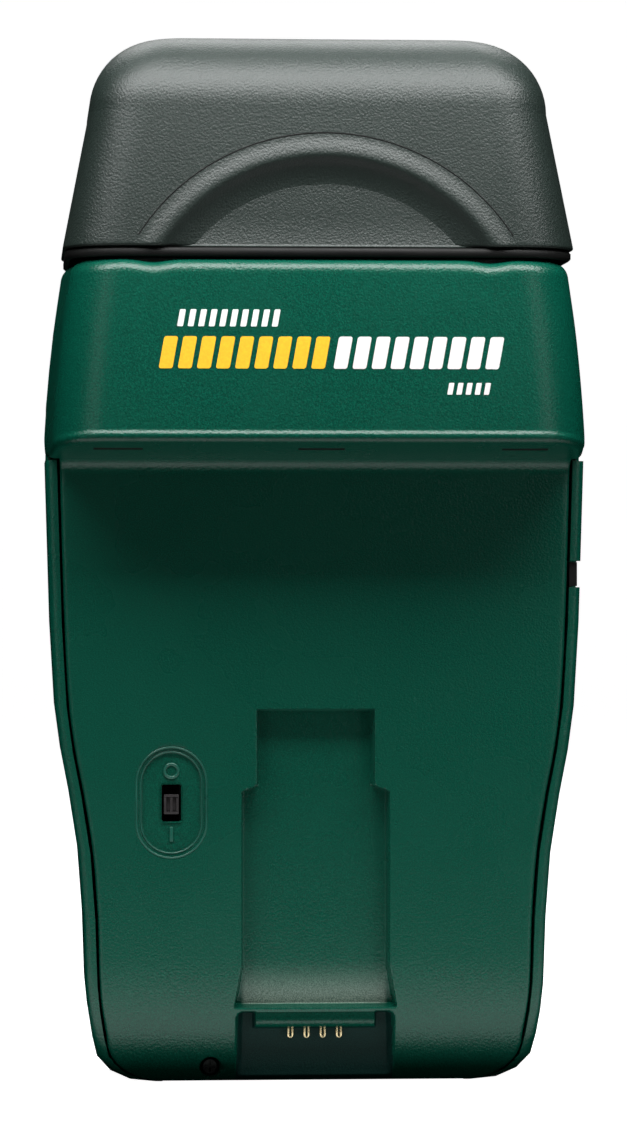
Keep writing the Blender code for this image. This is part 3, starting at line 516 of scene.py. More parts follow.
def loop_point(half, depth, radius, segment, t):
    """A point of a rounded rectangle: segments run front, corner, left, corner, back, and so on."""
    flat_x, flat_y = half - radius, depth - radius
    turn = math.radians(90 * t)
    sin, cos = radius * math.sin(turn), radius * math.cos(turn)
    return (
        (flat_x * (1 - 2 * t), -depth),
        (-flat_x - sin, -flat_y - cos),
        (-half, -flat_y * (1 - 2 * t)),
        (-flat_x - cos, flat_y + sin),
        (-flat_x * (1 - 2 * t), depth),
        (flat_x + sin, flat_y + cos),
        (half, flat_y * (1 - 2 * t)),
        (flat_x + cos, -flat_y - sin),
    )[segment]


def cap_half(z, axis, arc_half):
    """The cap's half size across an axis at a height, from its rim in to the foot of its top edge."""
    t = min((z - CAP_LOW[2]) / (CAP_ARC_Z - CAP_LOW[2]), 1.0)
    return CAP_HIGH[axis] + (arc_half - CAP_HIGH[axis]) * t


def cap_ring(z, inset, columns, relief=0.0, crown=1.0):
    """One ring of the cap at height z, moved in by inset."""
    half = cap_half(z, 0, CAP_ARC_HALF_WIDTH) - inset
    depth = cap_half(z, 1, CAP_ARC_HALF_DEPTH) - inset
    radius = max(CAP_CORNER - inset * 0.45, 0.002) * crown
    ring = np.array([(*loop_point(half * crown, depth * crown, radius, *column), z) for column in columns])
    if relief:
        push = relief * cap_grip(ring[:, 0], ring[:, 2])
        face = ease(np.abs(ring[:, 1]), depth - 0.0012, depth - 0.0002)
        ring[:, 1] += np.sign(ring[:, 1]) * push * face
    return ring


def make_cap():
    """Cap shell with its thumb rests, a rolled rim and a hollow inside."""
    columns = loop_columns(150, 14, 18)
    inner_arc = CAP_ARC - CAP_WALL
    rows = []
    for scale in (0.35, 0.7, 1.0):
        rows.append(cap_ring(CAP_ARC_Z + inner_arc, CAP_WALL + inner_arc, columns, crown=scale))
    for turn in reversed(arc(5)[:-1]):
        rise, inset = inner_arc * math.sin(turn), inner_arc * (1 - math.cos(turn))
        rows.append(cap_ring(CAP_ARC_Z + rise, CAP_WALL + inset, columns))
    for z in CAP_INNER_RINGS_Z:
        rows.append(cap_ring(z, CAP_WALL, columns))
    rim = CAP_LOW[2]
    for turn in arc(3):
        rise, inset = CAP_RIM_ROLL * (1 - math.sin(turn)), CAP_RIM_ROLL * (1 - math.cos(turn))
        rows.append(cap_ring(rim + rise, CAP_WALL - inset, columns))
    for turn in arc(4):
        rise, inset = CAP_RIM_ROLL * (1 - math.cos(turn)), CAP_RIM_ROLL * (1 - math.sin(turn))
        rows.append(cap_ring(rim + rise, inset, columns, relief=1.0))
    for z in spread(rim + CAP_RIM_ROLL + 0.0003, CAP_ARC_Z - 0.0002, 0.00032):
        rows.append(cap_ring(z, 0.0, columns, relief=1.0))
    for turn in arc(16):
        rise, inset = CAP_ARC * math.sin(turn), CAP_ARC * (1 - math.cos(turn))
        rows.append(cap_ring(CAP_ARC_Z + rise, inset, columns))
    for scale in (0.8, 0.6, 0.4, 0.2):
        rows.append(cap_ring(CAP_HIGH[2], CAP_ARC, columns, crown=scale))
    mesh = join_meshes("cap_shell", [grid_mesh("cap", rows, wrap=True, ends=(True, True))])
    cap = link("cap_shell", mesh, "cap", BLACK, angle=50.0)
    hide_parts("pin_cap")


def make_parting_lines():
    """Hairline round the thumb rest on each face of the cap."""
    radius = GRIP_RADIUS + GRIP_LINE
    parts = []
    for side in (-1, 1):
        path = []
        for turn in arc(72, 0, 180):
            x, z = GRIP_CENTRE[0] + radius * math.cos(turn), GRIP_CENTRE[1] + radius * math.sin(turn)
            if z > CAP_LOW[2] + 0.0008:
                path.append((x, side * (cap_half(z, 1, CAP_ARC_HALF_DEPTH) - 0.00001), z))
        parts.append(tube_mesh("line", path, 0.0001, sides=6))
    mesh = join_meshes("cap_parting_lines", parts)
    link("cap_parting_lines", mesh, "cap", BLACK_DULL, angle=60.0)


def make_collar():
    """Thin black collar between the head and the cap's rim."""
    columns = loop_columns(60, 10, 16)
    low, high, roll = HEAD_TOP_Z + 0.0003, CAP_LOW[2] - 0.0002, 0.0003
    section = ((low, 0.004), (low, roll), (low + roll, 0.0), (high - roll, 0.0), (high, roll), (high, 0.004))
    rows = []
    for z, inset in section:
        half, depth = CAP_HIGH[0] - COLLAR_INSET - inset, CAP_HIGH[1] - COLLAR_INSET - inset
        radius = max(CAP_CORNER - inset, 0.003)
        rows.append([(*loop_point(half, depth, radius, *column), z) for column in columns])
    mesh = join_meshes("neck_collar", [grid_mesh("collar", rows, wrap=True)])
    link("neck_collar", mesh, "case", BLACK_DULL, angle=60.0)


# ---- front shell --------------------------------------------------------------------------

def underside_z(y):
    """Height of the head's underside, which rises towards the front."""
    return SHOULDER_Z + SHOULDER_RISE * max(PANEL_Y - COVE_RADIUS - y, 0.0)


def head_columns():
    """(kind, fraction) along the front half section, from the right split edge to the left."""
    tongue_right = [("tongue_right", 0.0), ("tongue_right", 1.0)]
    side = [("right", k / 8) for k in range(8)]
    turn_right = [("turn_right", k / 16) for k in range(16)]
    front = [("front", k / 110) for k in range(110)]
    turn_left = [("turn_left", k / 16) for k in range(16)]
    left = [("left", k / 8) for k in range(9)]
    tongue_left = [("tongue_left", 0.0), ("tongue_left", 1.0)]
    return tongue_right + side + turn_right + front + turn_left + left + tongue_left


def head_point(kind, t, half, inset):
    """(x, y) of a column on the head's section, moved in by inset."""
    side = half - inset
    half = side - HEAD_DRAFT
    radius = max(HEAD_CORNER - inset, 0.0008)
    front = HEAD_FRONT_Y + inset
    flat = half - radius
    centre_y = min(front + radius, SPLIT_Y)
    turn = math.radians(90 * t)
    if kind == "tongue_right":
        return side - TONGUE_INSET, SPLIT_Y + TONGUE_DEPTH * (1 - t)
    if kind == "tongue_left":
        return -side + TONGUE_INSET, SPLIT_Y + TONGUE_DEPTH * t
    if kind == "right":
        return side + (half - side) * t, SPLIT_Y + (centre_y - SPLIT_Y) * t
    if kind == "turn_right":
        return flat + radius * math.cos(turn), centre_y - radius * math.sin(turn)
    if kind == "front":
        return flat * (1 - 2 * t), front
    if kind == "turn_left":
        return -flat - radius * math.sin(turn), centre_y - radius * math.cos(turn)
    return -half - (side - half) * t, centre_y + (SPLIT_Y - centre_y) * t


def top_dip(x, y):
    """Two shallow dips in the top front edge."""
    if y >= TOP_DIP_BACK_Y:
        return 0.0
    return TOP_DIP * math.exp(-((abs(x) - TOP_DIP_X) / TOP_DIP_WIDTH) ** 2)


def make_head():
    """Front half of the head: face, rolled edges, underside and the rim round the pin block."""
    columns = head_columns()
    rows = []

    def add_row(share, drop, inset):
        """share runs from the lower roll's top to the upper roll's foot; drop and inset follow a roll."""
        row = []
        high = HEAD_TOP_Z - HEAD_EDGE
        for kind, t in columns:
            x, y = head_point(kind, t, head_half_width(0.1 + 0.025 * share), inset)
            low = underside_z(HEAD_FRONT_Y if inset == 0 and y < HEAD_FRONT_Y + 0.001 else y) + SHOULDER_EDGE
            z = low + share * (high - low) + drop
            side = {"front": 1.0, "turn_right": t, "turn_left": 1 - t}.get(kind, 0.0)
            lip = LIP * side * (1 - float(ease(z - low, 0.0, LIP_HEIGHT)))
            x, y = head_point(kind, t, head_half_width(z), inset - lip)
            row.append((x, y, z - top_dip(x, y) * ease(share, 0.86, 1.0)))
        rows.append(row)

    for inset in HEAD_UNDERSIDE_INSETS:
        add_row(0.0, -SHOULDER_EDGE, inset)
    for turn in reversed(arc(6)):
        add_row(0.0, -SHOULDER_EDGE * math.sin(turn), SHOULDER_EDGE * (1 - math.cos(turn)))
    for share in spread(0.0, 1.0, 0.022, fine=((0.0, 0.04),), fine_step=0.005)[1:-1]:
        add_row(share, 0.0, 0.0)
    for turn in arc(8):
        add_row(1.0, HEAD_EDGE * math.sin(turn), HEAD_EDGE * (1 - math.cos(turn)))
    for inset in HEAD_RIM_INSETS:
        add_row(1.0, HEAD_EDGE, inset)
    add_row(1.0, HEAD_EDGE - HEAD_RIM_DEPTH, HEAD_RIM_INSETS[-1])
    return grid_mesh("head", rows)


def channel_half(z):
    """Half width of the dock channel at a height."""
    step = ease(-z, -(CHANNEL_STEP_Z + 0.0006), -(CHANNEL_STEP_Z - 0.0006))
    flare = np.clip((CHANNEL_FLARE_Z - z) / (CHANNEL_FLARE_Z - CHANNEL_END_Z), 0.0, 1.0)
    return CHANNEL_NARROW + (CHANNEL_WIDE - CHANNEL_NARROW) * step + (CHANNEL_FLARE - CHANNEL_WIDE) * flare


def rounded_box(x, z, centre, half, radius):
    """Signed distance to a rounded rectangle, positive inside."""
    dx = np.abs(x - centre[0]) - half[0] + radius
    dz = np.abs(z - centre[1]) - half[1] + radius
    outside = np.hypot(np.maximum(dx, 0), np.maximum(dz, 0))
    return radius - outside - np.minimum(np.maximum(dx, dz), 0)


def panel_depth(x, z, surface):
    """How far the panel's face sits behind its plain surface, which is at y = surface."""
    depth = np.zeros_like(x)
    inside = np.minimum(np.minimum(channel_half(z) - np.abs(x), CHANNEL_TOP_Z - z), z - CHANNEL_END_Z)
    bend = np.clip((CHANNEL_BEND_Z - z) / (CHANNEL_BEND_Z - CHANNEL_END_Z), 0.0, 1.0)
    floor = CHANNEL_FLOOR_Y + (CHANNEL_END_Y - CHANNEL_FLOOR_Y) * bend ** 2
    depth = np.maximum(depth, (floor - surface) * ease(inside, -EDGE_SOFT, EDGE_SOFT))

    middle = POCKET_TOP_Z - 0.012
    inside = rounded_box(x, z, (0.0, middle), (POCKET_HALF, POCKET_TOP_Z - middle), POCKET_CORNER)
    side = ease(POCKET_HALF - np.abs(x), -0.0002, POCKET_SLOPE)
    pocket = np.maximum(POCKET_FLOOR_Y - surface, 0.0) * ease(inside, -EDGE_SOFT, EDGE_SOFT * 1.5) * side
    depth = np.maximum(depth, pocket)

    roll = np.clip(LEDGE_LOW_Z + LEDGE_ROLL - z, 0.0, LEDGE_ROLL)
    ledge_y = LEDGE_FRONT_Y + LEDGE_ROLL - np.sqrt(np.maximum(LEDGE_ROLL ** 2 - roll ** 2, 0.0))
    ledge_y = ledge_y + LEDGE_LEAN * ease(z, LEDGE_LOW_Z + LEDGE_ROLL, POCKET_TOP_Z)
    on_ledge = ease(np.minimum(LEDGE_HALF - np.abs(x), z - LEDGE_LOW_Z), -0.00012, 0.00018)
    below_top = ease(-z, -POCKET_TOP_Z - 0.0001, -POCKET_TOP_Z + 0.0002)
    ledge = (ledge_y - surface) * below_top
    depth = np.where(pocket > 0, depth + (np.minimum(ledge, depth) - depth) * on_ledge, depth)

    outer = rounded_box(x, z, (SWITCH_X, OVAL_Z), OVAL_OUTER, OVAL_OUTER[0])
    inner = rounded_box(x, z, (SWITCH_X, OVAL_Z), OVAL_INNER, OVAL_INNER[0])
    depth += (OVAL_OUTER_DEPTH * ease(outer, -OVAL_SOFT, OVAL_SOFT)
              + OVAL_INNER_DEPTH * ease(inner, -OVAL_SOFT, OVAL_SOFT))

    radius = np.hypot(x - CHIN_SCREW[0], z - CHIN_SCREW[1])
    recess = np.maximum(CHIN_SCREW_FLOOR_Y - surface, 0.0)
    return np.maximum(depth, recess * ease(CHIN_SCREW_RADIUS - radius, -0.00012, 0.00012))


def panel_x(s, half):
    """Place of column s in a row of this half width: fixed in the middle, stretched outside."""
    side = min(PANEL_SIDE, half - 0.0022)
    return np.interp(s, (0.0, PANEL_PLAIN, PANEL_SIDE, PANEL_EDGE), (0.0, PANEL_PLAIN, side, half))


def panel_columns():
    """Column places on the right half, closer together at the edges of the dock."""
    fine = ((0.0086, 0.0135), (0.0149, PANEL_SIDE))
    return spread(0.0, PANEL_EDGE, PANEL_STEP, fine=fine, fine_step=PANEL_FINE_STEP)


def make_panel():
    """Dock panel with the channel, contact pocket and switch well, and the chin down to the foot."""
    right = panel_columns()
    signed = [-s for s in reversed(right[1:])] + right
    fine = ((0.0, 0.0045), (0.0068, 0.0128), (0.0343, 0.0523), (0.0576, 0.059))
    heights = spread(0.0, SHOULDER_Z - COVE_RADIUS, PANEL_STEP, fine=fine, fine_step=PANEL_FINE_STEP)
    path = [(0.0026, 0.0002), (0.0024, 0.0), (0.0009, 0.0), (-0.0004, 0.0)]
    path += [(front_y(z), z) for z in heights if z > 0]
    for turn in arc(8)[1:]:
        out, rise = COVE_RADIUS * (1 - math.cos(turn)), COVE_RADIUS * math.sin(turn)
        path.append((PANEL_Y - out, SHOULDER_Z - COVE_RADIUS + rise))
    path += [(PANEL_Y - COVE_RADIUS - 0.002, SHOULDER_Z + 0.00032)]

    roll = PANEL_EDGE_ROLL
    rows = []
    for y, z in path:
        half = body_half_width(min(z, SHOULDER_Z)) - SIDE_WALL - SEAM / 2 - roll
        xs = np.array([math.copysign(panel_x(abs(s), half), s) for s in signed])
        zs = np.full_like(xs, z)
        ys = y + panel_depth(xs, zs, y)
        middle = np.stack((xs, ys, zs), axis=-1)
        edge = [(roll * math.sin(turn), roll * (1 - math.cos(turn))) for turn in arc(4)[1:]]
        edge.append((roll, WALL))
        right_edge = np.array([(half + out, y + back, z) for out, back in edge])
        left_edge = np.array([(-half - out, y + back, z) for out, back in reversed(edge)])
        rows.append(np.concatenate((left_edge, middle, right_edge)))

    def in_slot(middle):
        return rounded_box(middle[:, 0], middle[:, 2], (SWITCH_X, SWITCH_Z), SLOT_HALF, SLOT_CORNER) > 0

    return grid_mesh("panel", rows, drop=in_slot)


def make_slot_wall():
    """Wall of the switch slot, through the shell."""
    rows = []
    columns = loop_columns(6, 4, 10)
    for y, grow in ((PANEL_Y + 0.00035, 0.00012), (PANEL_Y + 0.0006, 0.0), (PANEL_Y + WALL + 0.0004, 0.0)):
        half, depth = SLOT_HALF[0] + grow, SLOT_HALF[1] + grow
        ring = [loop_point(half, depth, SLOT_CORNER, *column) for column in columns]
        rows.append([(SWITCH_X + a, y, SWITCH_Z + b) for a, b in ring])
    return grid_mesh("slot_wall", rows, wrap=True)


def make_front_shell():
    """The front shell is one moulding: head, panel and chin."""
    mesh = join_meshes("front_shell", [make_head(), make_panel(), make_slot_wall()])
    shell = link("front_shell", mesh, "case", GREEN_FRONT, angle=55.0)
    # Faces deep in the contact pocket take the darker second material: painted shade for the ledge's shadow.
    mesh.materials.append(POCKET_PAINTED_SHADE)
    for face in mesh.polygons:
        x, y, z = face.center
        deep = y > max(front_y(z), LEDGE_FRONT_Y) + POCKET_SHADE_BELOW or z < POCKET_LOW_Z
        if abs(x) < POCKET_HALF - 0.0003 and 0.0 < z < POCKET_TOP_Z - 0.0003 and deep:
            face.material_index = 1
    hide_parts("front_case")


# ---- contacts, knob, collets --------------------------------------------------------------

def tube_mesh(name, path, radius, sides=10):
    """A round wire along a path of points, with closed ends."""
    points = [Vector(p) for p in path]
    rows = []
    for k, point in enumerate(points):
        along = (points[min(k + 1, len(points) - 1)] - points[max(k - 1, 0)]).normalized()
        across = along.cross(Vector((0, 1, 0)))
        across = across.normalized() if across.length > 0.1 else Vector((1, 0, 0))
        up = along.cross(across).normalized()
        rows.append([tuple(point + radius * (math.cos(a) * across + math.sin(a) * up))
                     for a in (2 * math.pi * j / sides for j in range(sides))])
    return grid_mesh(name, rows, wrap=True, ends=(True, True))


def make_contacts():
    """Four gold wire loops that hang from under the ledge."""
    for k in range(4):
        node = f"contact_{k + 1}"
        low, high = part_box(node)
        x = (low[0] + high[0]) / 2
        y = low[1] + 0.00022
        half, wire, bend_z = 0.00031, 0.00019, low[2] + 0.00052
        top = high[2]
        leg = [(x - half, high[1] - 0.0002, top - 0.0002), (x - half, y + 0.0010, top - 0.0002),
               (x - half, y + 0.0002, top - 0.0004), (x - half, y, top - 0.0009), (x - half, y, bend_z)]
        bend = [(x - half * math.cos(turn), y, bend_z - half * math.sin(turn))
                for turn in arc(8, 0, 180)[1:-1]]
        path = leg + bend + [(2 * x - px, py, pz) for px, py, pz in reversed(leg)]
        spring = link(f"contact_spring_{k + 1}", join_meshes(node + "_wire", [tube_mesh(node, path, wire)]),
                      f"spring_{k + 1}", GOLD, angle=60.0)
        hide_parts(node)


def box_mesh(name, low, high, bevel=0.0):
    """A box between two corners with rounded edges."""
    bm = bmesh.new()
    low, high = Vector(low), Vector(high)
    fit = Matrix.Translation((low + high) / 2) @ Matrix.Diagonal((*(high - low), 1.0))
    bmesh.ops.create_cube(bm, size=1.0, matrix=fit)
    if bevel:
        bmesh.ops.bevel(bm, geom=bm.edges, offset=bevel, segments=2, profile=0.5, affect="EDGES")
    mesh = bpy.data.meshes.new(name)
    bm.to_mesh(mesh)
    bm.free()
    return mesh


def make_knob():
    """Slide knob: a raised frame with a ridge down its middle."""
    x0, x1 = KNOB_LOW[0], KNOB_HIGH[0]
    z0, z1 = KNOB_LOW[2], KNOB_HIGH[2]
    front = KNOB_LOW[1]
    inner, back = front + 0.0001, front + 0.0012
    middle_x, middle_z = (x0 + x1) / 2, (z0 + z1) / 2
    bar, edge = 0.00038, 0.0001
    parts = [
        box_mesh("knob_core", (x0 + edge, front + 0.0005, z0 + edge),
                 (x1 - edge, front + 0.0019, z1 - edge), edge),
        box_mesh("knob_top", (x0, front, z1 - bar), (x1, back, z1), edge),
        box_mesh("knob_bottom", (x0, front, z0), (x1, back, z0 + bar), edge),
        box_mesh("knob_left", (x0, inner, z0), (x0 + bar, back, z1), edge),
        box_mesh("knob_right", (x1 - bar, inner, z0), (x1, back, z1), edge),
        box_mesh("knob_rib", (middle_x - 0.0002, inner, z0), (middle_x + 0.0002, back, z1), edge),
        box_mesh("knob_stem", (middle_x - 0.0009, front + 0.0017, middle_z - 0.001),
                 (middle_x + 0.0009, KNOB_HIGH[1], middle_z + 0.001)),
    ]
    knob = link("slide_knob", join_meshes("slide_knob", parts), "knob", BLACK_SMOOTH)
    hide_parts("switch_knob")


def loop_path(half_x, half_z, steps=16):
    """Closed stadium-shaped path of (x, z) points round the origin."""
    flat = half_z - half_x
    upper = [(half_x * math.cos(a), flat + half_x * math.sin(a)) for a in arc(steps, 0, 180)]
    return upper + [(-x, -z) for x, z in upper]


def bead_mesh(name, path, centre, y, radius, sides=8):
    """Half-sunk round bead along a closed (x, z) path, centred at depth y."""
    points = [Vector((centre[0] + x, y, centre[1] + z)) for x, z in path]
    rows = []
    for k, point in enumerate(points):
        along = (points[(k + 1) % len(points)] - points[k - 1]).normalized()
        across = along.cross(Vector((0, 1, 0))).normalized()
        rows.append([tuple(point + radius * (math.cos(a) * across + math.sin(a) * Vector((0, 1, 0))))
                     for a in (2 * math.pi * j / sides for j in range(sides))])
    return grid_mesh(name, rows + rows[:1], wrap=True)


def make_switch_marks():
    """Raised moulded lines round the switch, a ring for off and a bar for on, in a lighter green: painted
    highlight for the light their edges catch.
    """
    floor = PANEL_Y + 0.00054
    oval_centre, off_centre = (SWITCH_X, OVAL_Z), (SWITCH_X, OVAL_Z + 0.0049)
    parts = [
        bead_mesh("outer", loop_path(*OVAL_OUTER), oval_centre, PANEL_Y + 0.00005, 0.00015),
        bead_mesh("inner", loop_path(*OVAL_INNER), oval_centre, PANEL_Y + 0.00022, 0.00011),
        bead_mesh("ring", loop_path(0.00105, 0.00105), off_centre, floor, 0.00026),
        box_mesh("bar", (SWITCH_X - 0.00026, floor - 0.00026, OVAL_Z - 0.0061),
                 (SWITCH_X + 0.00026, floor + 0.0002, OVAL_Z - 0.0038), 0.0001),
    ]
    link("switch_marks", join_meshes("switch_marks", parts), "case", GREEN_PAINTED_HIGHLIGHT, angle=60.0)


def make_collets():
    """Knurled nuts that clamp the pins."""
    teeth = 36
    turns = [math.pi * j / teeth for j in range(2 * teeth)]
    for side in ("left", "right"):
        low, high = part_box(f"collet_{side}")
        x = (low[0] + high[0]) / 2
        foot, top = low[2], high[2]
        radius = (high[0] - low[0]) / 2
        profile = [(0.0023, foot + 0.0041), (0.0023, foot), (radius - 0.0005, foot),
                   (radius - 0.0001, foot + 0.0004), (radius, foot + 0.0008), (radius, foot + 0.0034),
                   (radius - 0.0001, foot + 0.0038), (radius - 0.0006, foot + 0.0040),
                   (0.0036, top - 0.0006), (0.0032, top - 0.0001), (0.0026, top),
                   (0.0013, top - 0.0001), (0.0012, top - 0.0016)]
        rows = []
        for k, (outer, z) in enumerate(profile):
            groove = outer - (0.00016 if k in (4, 5) else 0.0)
            radii = [groove if j % 2 else outer for j in range(2 * teeth)]
            rows.append([(x + r * math.cos(turn), r * math.sin(turn), z) for r, turn in zip(radii, turns)])
        mesh = join_meshes(f"nut_{side}", [grid_mesh("nut", rows, wrap=True)])
        nut = link(f"collet_nut_{side}", mesh, "case", NICKEL, angle=25.0)
        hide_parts(f"collet_{side}")


# ---- underside slots ----------------------------------------------------------------------

def make_underside_slots():
    """Three short moulding slots in the head's underside, drawn as dark dull boxes: painted shade for the
    slots' insides.
    """
    y = -0.0172
    tilt = math.atan(SHOULDER_RISE)
    parts = []
    for x, half in ((-0.0310, 0.0038), (0.0002, 0.0036), (0.0316, 0.0036)):
        part = box_mesh("slot", (-half, -0.0008, -0.00006), (half, 0.0008, 0.0004), 0.00005)
        part.transform(Matrix.Translation((x, y, underside_z(y))) @ Matrix.Rotation(-tilt, 4, "X"))
        parts.append(part)
    link("underside_slots", join_meshes("underside_slots", parts), "case", BLACK_DULL)


# ---- print --------------------------------------------------------------------------------

def slanted_bars(name, x, z, height, width, gap, count, material):
    """A row of slanted printed bars on the head's face; it starts at x, on the line z."""
    bm = bmesh.new()
    lean = 0.18 * height
    for k in range(count):
        left = x + k * (width + gap)
        outline = [(left, z), (left + width, z), (left + width + lean, z + height), (left + lean, z + height)]
        front = [bm.verts.new((px, HEAD_FRONT_Y - 0.00005, pz)) for px, pz in outline]
        back = [bm.verts.new((px, HEAD_FRONT_Y + 0.0001, pz)) for px, pz in outline]
        bm.faces.new(front)
        bm.faces.new(list(reversed(back)))
        for a in range(4):
            b = (a + 1) % 4
            bm.faces.new((front[a], back[a], back[b], front[b]))
    bmesh.ops.recalc_face_normals(bm, faces=bm.faces)
    corners = [e for e in bm.edges if abs(e.verts[0].co.y - e.verts[1].co.y) > 0.0001]
    round_off = min(width, height) * 0.16
    bmesh.ops.bevel(bm, geom=corners, offset=round_off, segments=3, profile=0.5, affect="EDGES")
    mesh = bpy.data.meshes.new(name)
    bm.to_mesh(mesh)
    bm.free()
    return link(name, mesh, "case", material)


def make_print():
    """A plain two-colour bar scale in place of lettering."""
    slanted_bars("print_small_bars", -0.0222, 0.1172, 0.0026, 0.0009, 0.0007, 10, WHITE_INK)
    slanted_bars("print_yellow_bars", -0.0250, 0.1108, 0.0049, 0.0021, 0.0008, 9, YELLOW_INK)
    slanted_bars("print_white_bars", 0.0016, 0.1108, 0.0049, 0.0021, 0.0008, 9, WHITE_INK)
    slanted_bars("print_tail_bars", 0.0190, 0.1069, 0.0018, 0.0008, 0.0006, 5, WHITE_INK)


# ---- carried-over nodes -------------------------------------------------------------------

NODE_FINISH = {
    "back_case": GREEN,
    "battery_door": GREEN,
    "pin_block": BLACK,
    "switch_body": BLACK_DULL,
    "contact_block": BLACK_DULL,
    "processor_chip": BLACK_DULL,
    "probe_jack": BLACK_DULL,
    "battery_snap": BLACK_DULL,
    "main_board": BOARD,
    "radio_module": BOARD,
    "terminal_left": NICKEL,
    "terminal_right": NICKEL,
    "pin_left": STEEL,
    "pin_right": STEEL,
    "chin_screw": DARK_STEEL,
    **{f"case_screw_{k}": STEEL for k in range(1, 5)},
    "battery_9v": FILM,
    "pin_lead_right": RED_WIRE,
    "battery_lead_red": RED_WIRE,
    "pin_lead_left": BLACK_WIRE,
    "battery_lead_black": BLACK_WIRE,
}


def soften(obj, width):
    """Round a node's sharp edges without changing its own mesh."""
    weld = obj.modifiers.new("weld", "WELD")
    weld.merge_threshold = 0.000002
    flat = obj.modifiers.new("flat", "DECIMATE")
    flat.decimate_type = "DISSOLVE"
    flat.angle_limit = math.radians(0.6)
    bevel = obj.modifiers.new("edges", "BEVEL")
    bevel.width = width
    bevel.segments = 3
    bevel.limit_method = "ANGLE"
    bevel.angle_limit = math.radians(32.0)
    bevel.use_clamp_overlap = True
    bevel.harden_normals = False
    bevel.miter_outer = "MITER_ARC"


def smooth_by_angle(angle):
    """Modifier tree that shades a node smooth except along its edges."""
    tree = bpy.data.node_groups.new("smooth_by_angle", "GeometryNodeTree")
    tree.interface.new_socket("Geometry", in_out="INPUT", socket_type="NodeSocketGeometry")
    tree.interface.new_socket("Geometry", in_out="OUTPUT", socket_type="NodeSocketGeometry")
    start, end = tree.nodes.new("NodeGroupInput"), tree.nodes.new("NodeGroupOutput")
    faces, edges = (tree.nodes.new("GeometryNodeSetShadeSmooth") for _ in range(2))
    faces.domain, edges.domain = "FACE", "EDGE"
    faces.inputs["Shade Smooth"].default_value = True
    edges.inputs["Shade Smooth"].default_value = False
    bend = tree.nodes.new("GeometryNodeInputMeshEdgeAngle")
    sharp = tree.nodes.new("FunctionNodeCompare")
    sharp.data_type, sharp.operation = "FLOAT", "GREATER_THAN"
    sharp.inputs["B"].default_value = math.radians(angle)
    for source, target in (
        (start.outputs[0], faces.inputs["Geometry"]),
        (faces.outputs[0], edges.inputs["Geometry"]),
        (bend.outputs["Unsigned Angle"], sharp.inputs["A"]),
        (sharp.outputs["Result"], edges.inputs["Selection"]),
        (edges.outputs[0], end.inputs[0]),
    ):
        tree.links.new(source, target)
    return tree


def finish_nodes():
    """Materials, rounded edges and smooth shading for the nodes that stay."""
    for name, material in NODE_FINISH.items():
        NODES[name].data.materials.clear()
        NODES[name].data.materials.append(material)
    shading = smooth_by_angle(35.0)
    soften(NODES["back_case"], 0.0004)
    soften(NODES["battery_door"], 0.0003)
    soften(NODES["pin_block"], 0.0003)
    for name in NODE_FINISH:
        NODES[name].modifiers.new("shading", "NODES").node_group = shading
        weight = NODES[name].modifiers.new("flats", "WEIGHTED_NORMAL")
        weight.mode = "FACE_AREA"
        weight.weight = 100
        weight.keep_sharp = True


# ---- camera and light ---------------------------------------------------------------------

def look_at(obj, place, target):
    obj.location = place
    obj.rotation_euler = (Vector(target) - Vector(place)).to_track_quat("-Z", "Y").to_euler()


def add_camera():
    """Camera at the front, slightly left of the middle, level with the unit's middle."""
    data = bpy.data.cameras.new("camera")
    camera = bpy.data.objects.new("camera", data)
    bpy.context.scene.collection.objects.link(camera)
    distance, azimuth = 0.70, math.radians(-3.8)
    centre = Vector((0.0001, 0.0, 0.0807))
    data.sensor_fit = "VERTICAL"
    data.sensor_height = 24.0
    view_height = 0.1783
    data.lens = data.sensor_height * distance / view_height
    data.clip_start = 0.01
    look_at(camera, centre + distance * Vector((math.sin(azimuth), -math.cos(azimuth), 0.0)), centre)
    bpy.context.scene.camera = camera
    bpy.context.scene.view_settings.view_transform = "Standard"


def add_softbox(name, place, target, size, radiance):
    """A rectangular soft box, bright enough to show this radiance in a mirror."""
    data = bpy.data.lights.new(name, "AREA")
    data.shape = "RECTANGLE"
    data.size, data.size_y = size
    data.energy = radiance * math.pi * size[0] * size[1]
    light = bpy.data.objects.new(name, data)
    light.visible_camera = False
    bpy.context.scene.collection.objects.link(light)
    look_at(light, place, target)


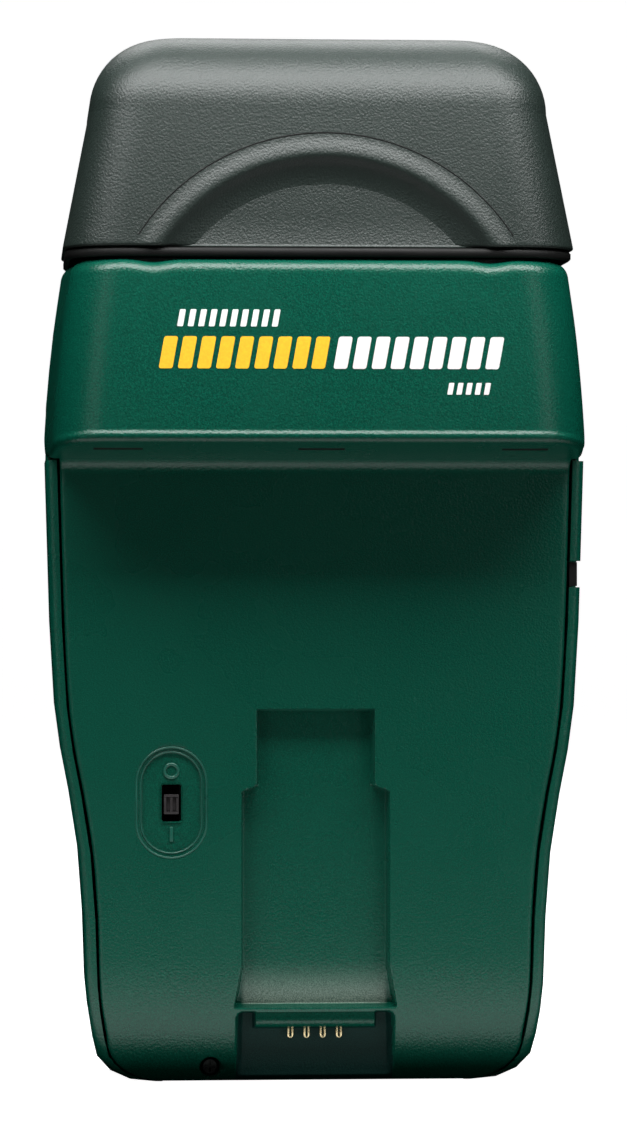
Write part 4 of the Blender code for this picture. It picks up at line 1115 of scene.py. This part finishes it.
def add_studio():
    """White sweep, pale surroundings and soft boxes."""
    rows = []
    bend = [(2.2 + 0.6 * math.sin(turn), 0.6 - 0.6 * math.cos(turn)) for turn in arc(10)[1:]]
    for y, z in [(-4.0, 0.0), (2.2, 0.0)] + bend + [(2.8, 4.0)]:
        rows.append([(x, y, z) for x in (-4.0, -1.3, 1.3, 4.0)])
    mesh = grid_mesh("sweep", rows)
    mesh.shade_smooth()
    shader = Shader("sweep_paper", (0.80, 0.80, 0.80), 0.9, specular=0.0)
    shader.roughness_from(shader.remap(shader.noise(0.05), 0.86, 0.94))
    shader.set("Emission Color", (1.0, 1.0, 1.0, 1.0))
    shader.set("Emission Strength", 1.0)
    mesh.materials.append(shader.material)
    sweep = bpy.data.objects.new("sweep", mesh)
    sweep.visible_diffuse = False
    sweep.visible_glossy = False
    bpy.context.scene.collection.objects.link(sweep)

    world = bpy.data.worlds.new("studio")
    bpy.context.scene.world = world
    world.use_nodes = True
    world.node_tree.nodes["Background"].inputs["Color"].default_value = (1.0, 1.0, 1.0, 1.0)
    world.node_tree.nodes["Background"].inputs["Strength"].default_value = 1.0
    world.cycles_visibility.diffuse = False
    world.cycles_visibility.glossy = False

    middle = (0.0, 0.0, 0.10)
    add_softbox("top_box", (0.0, -0.088, 0.245), (0.0, -0.01, 0.11), (0.32, 0.08), 12.4)
    add_softbox("left_box", (-0.42, -0.58, 0.15), middle, (0.14, 0.3), 2.0)
    add_softbox("right_box", (0.42, -0.58, 0.15), middle, (0.14, 0.3), 2.5)
    add_softbox("near_card", (0.0, -0.033, 0.002), (0.0, -0.033, 1.0), (0.30, 0.042), 1.6)
    add_softbox("far_card", (0.0, -0.080, 0.002), (0.0, -0.080, 1.0), (0.30, 0.045), 0.9)
    add_softbox("back_box", (0.0, 0.55, 0.75), middle, (0.6, 0.4), 4.5)
    add_softbox("front_fill", (0.0, -1.60, 0.50), middle, (1.2, 0.5), 0.08)


# ---- build --------------------------------------------------------------------------------

add_camera()
add_studio()
make_cap()
make_parting_lines()
make_collar()
make_front_shell()
make_contacts()
make_knob()
make_switch_marks()
make_collets()
make_print()
make_underside_slots()
finish_nodes()
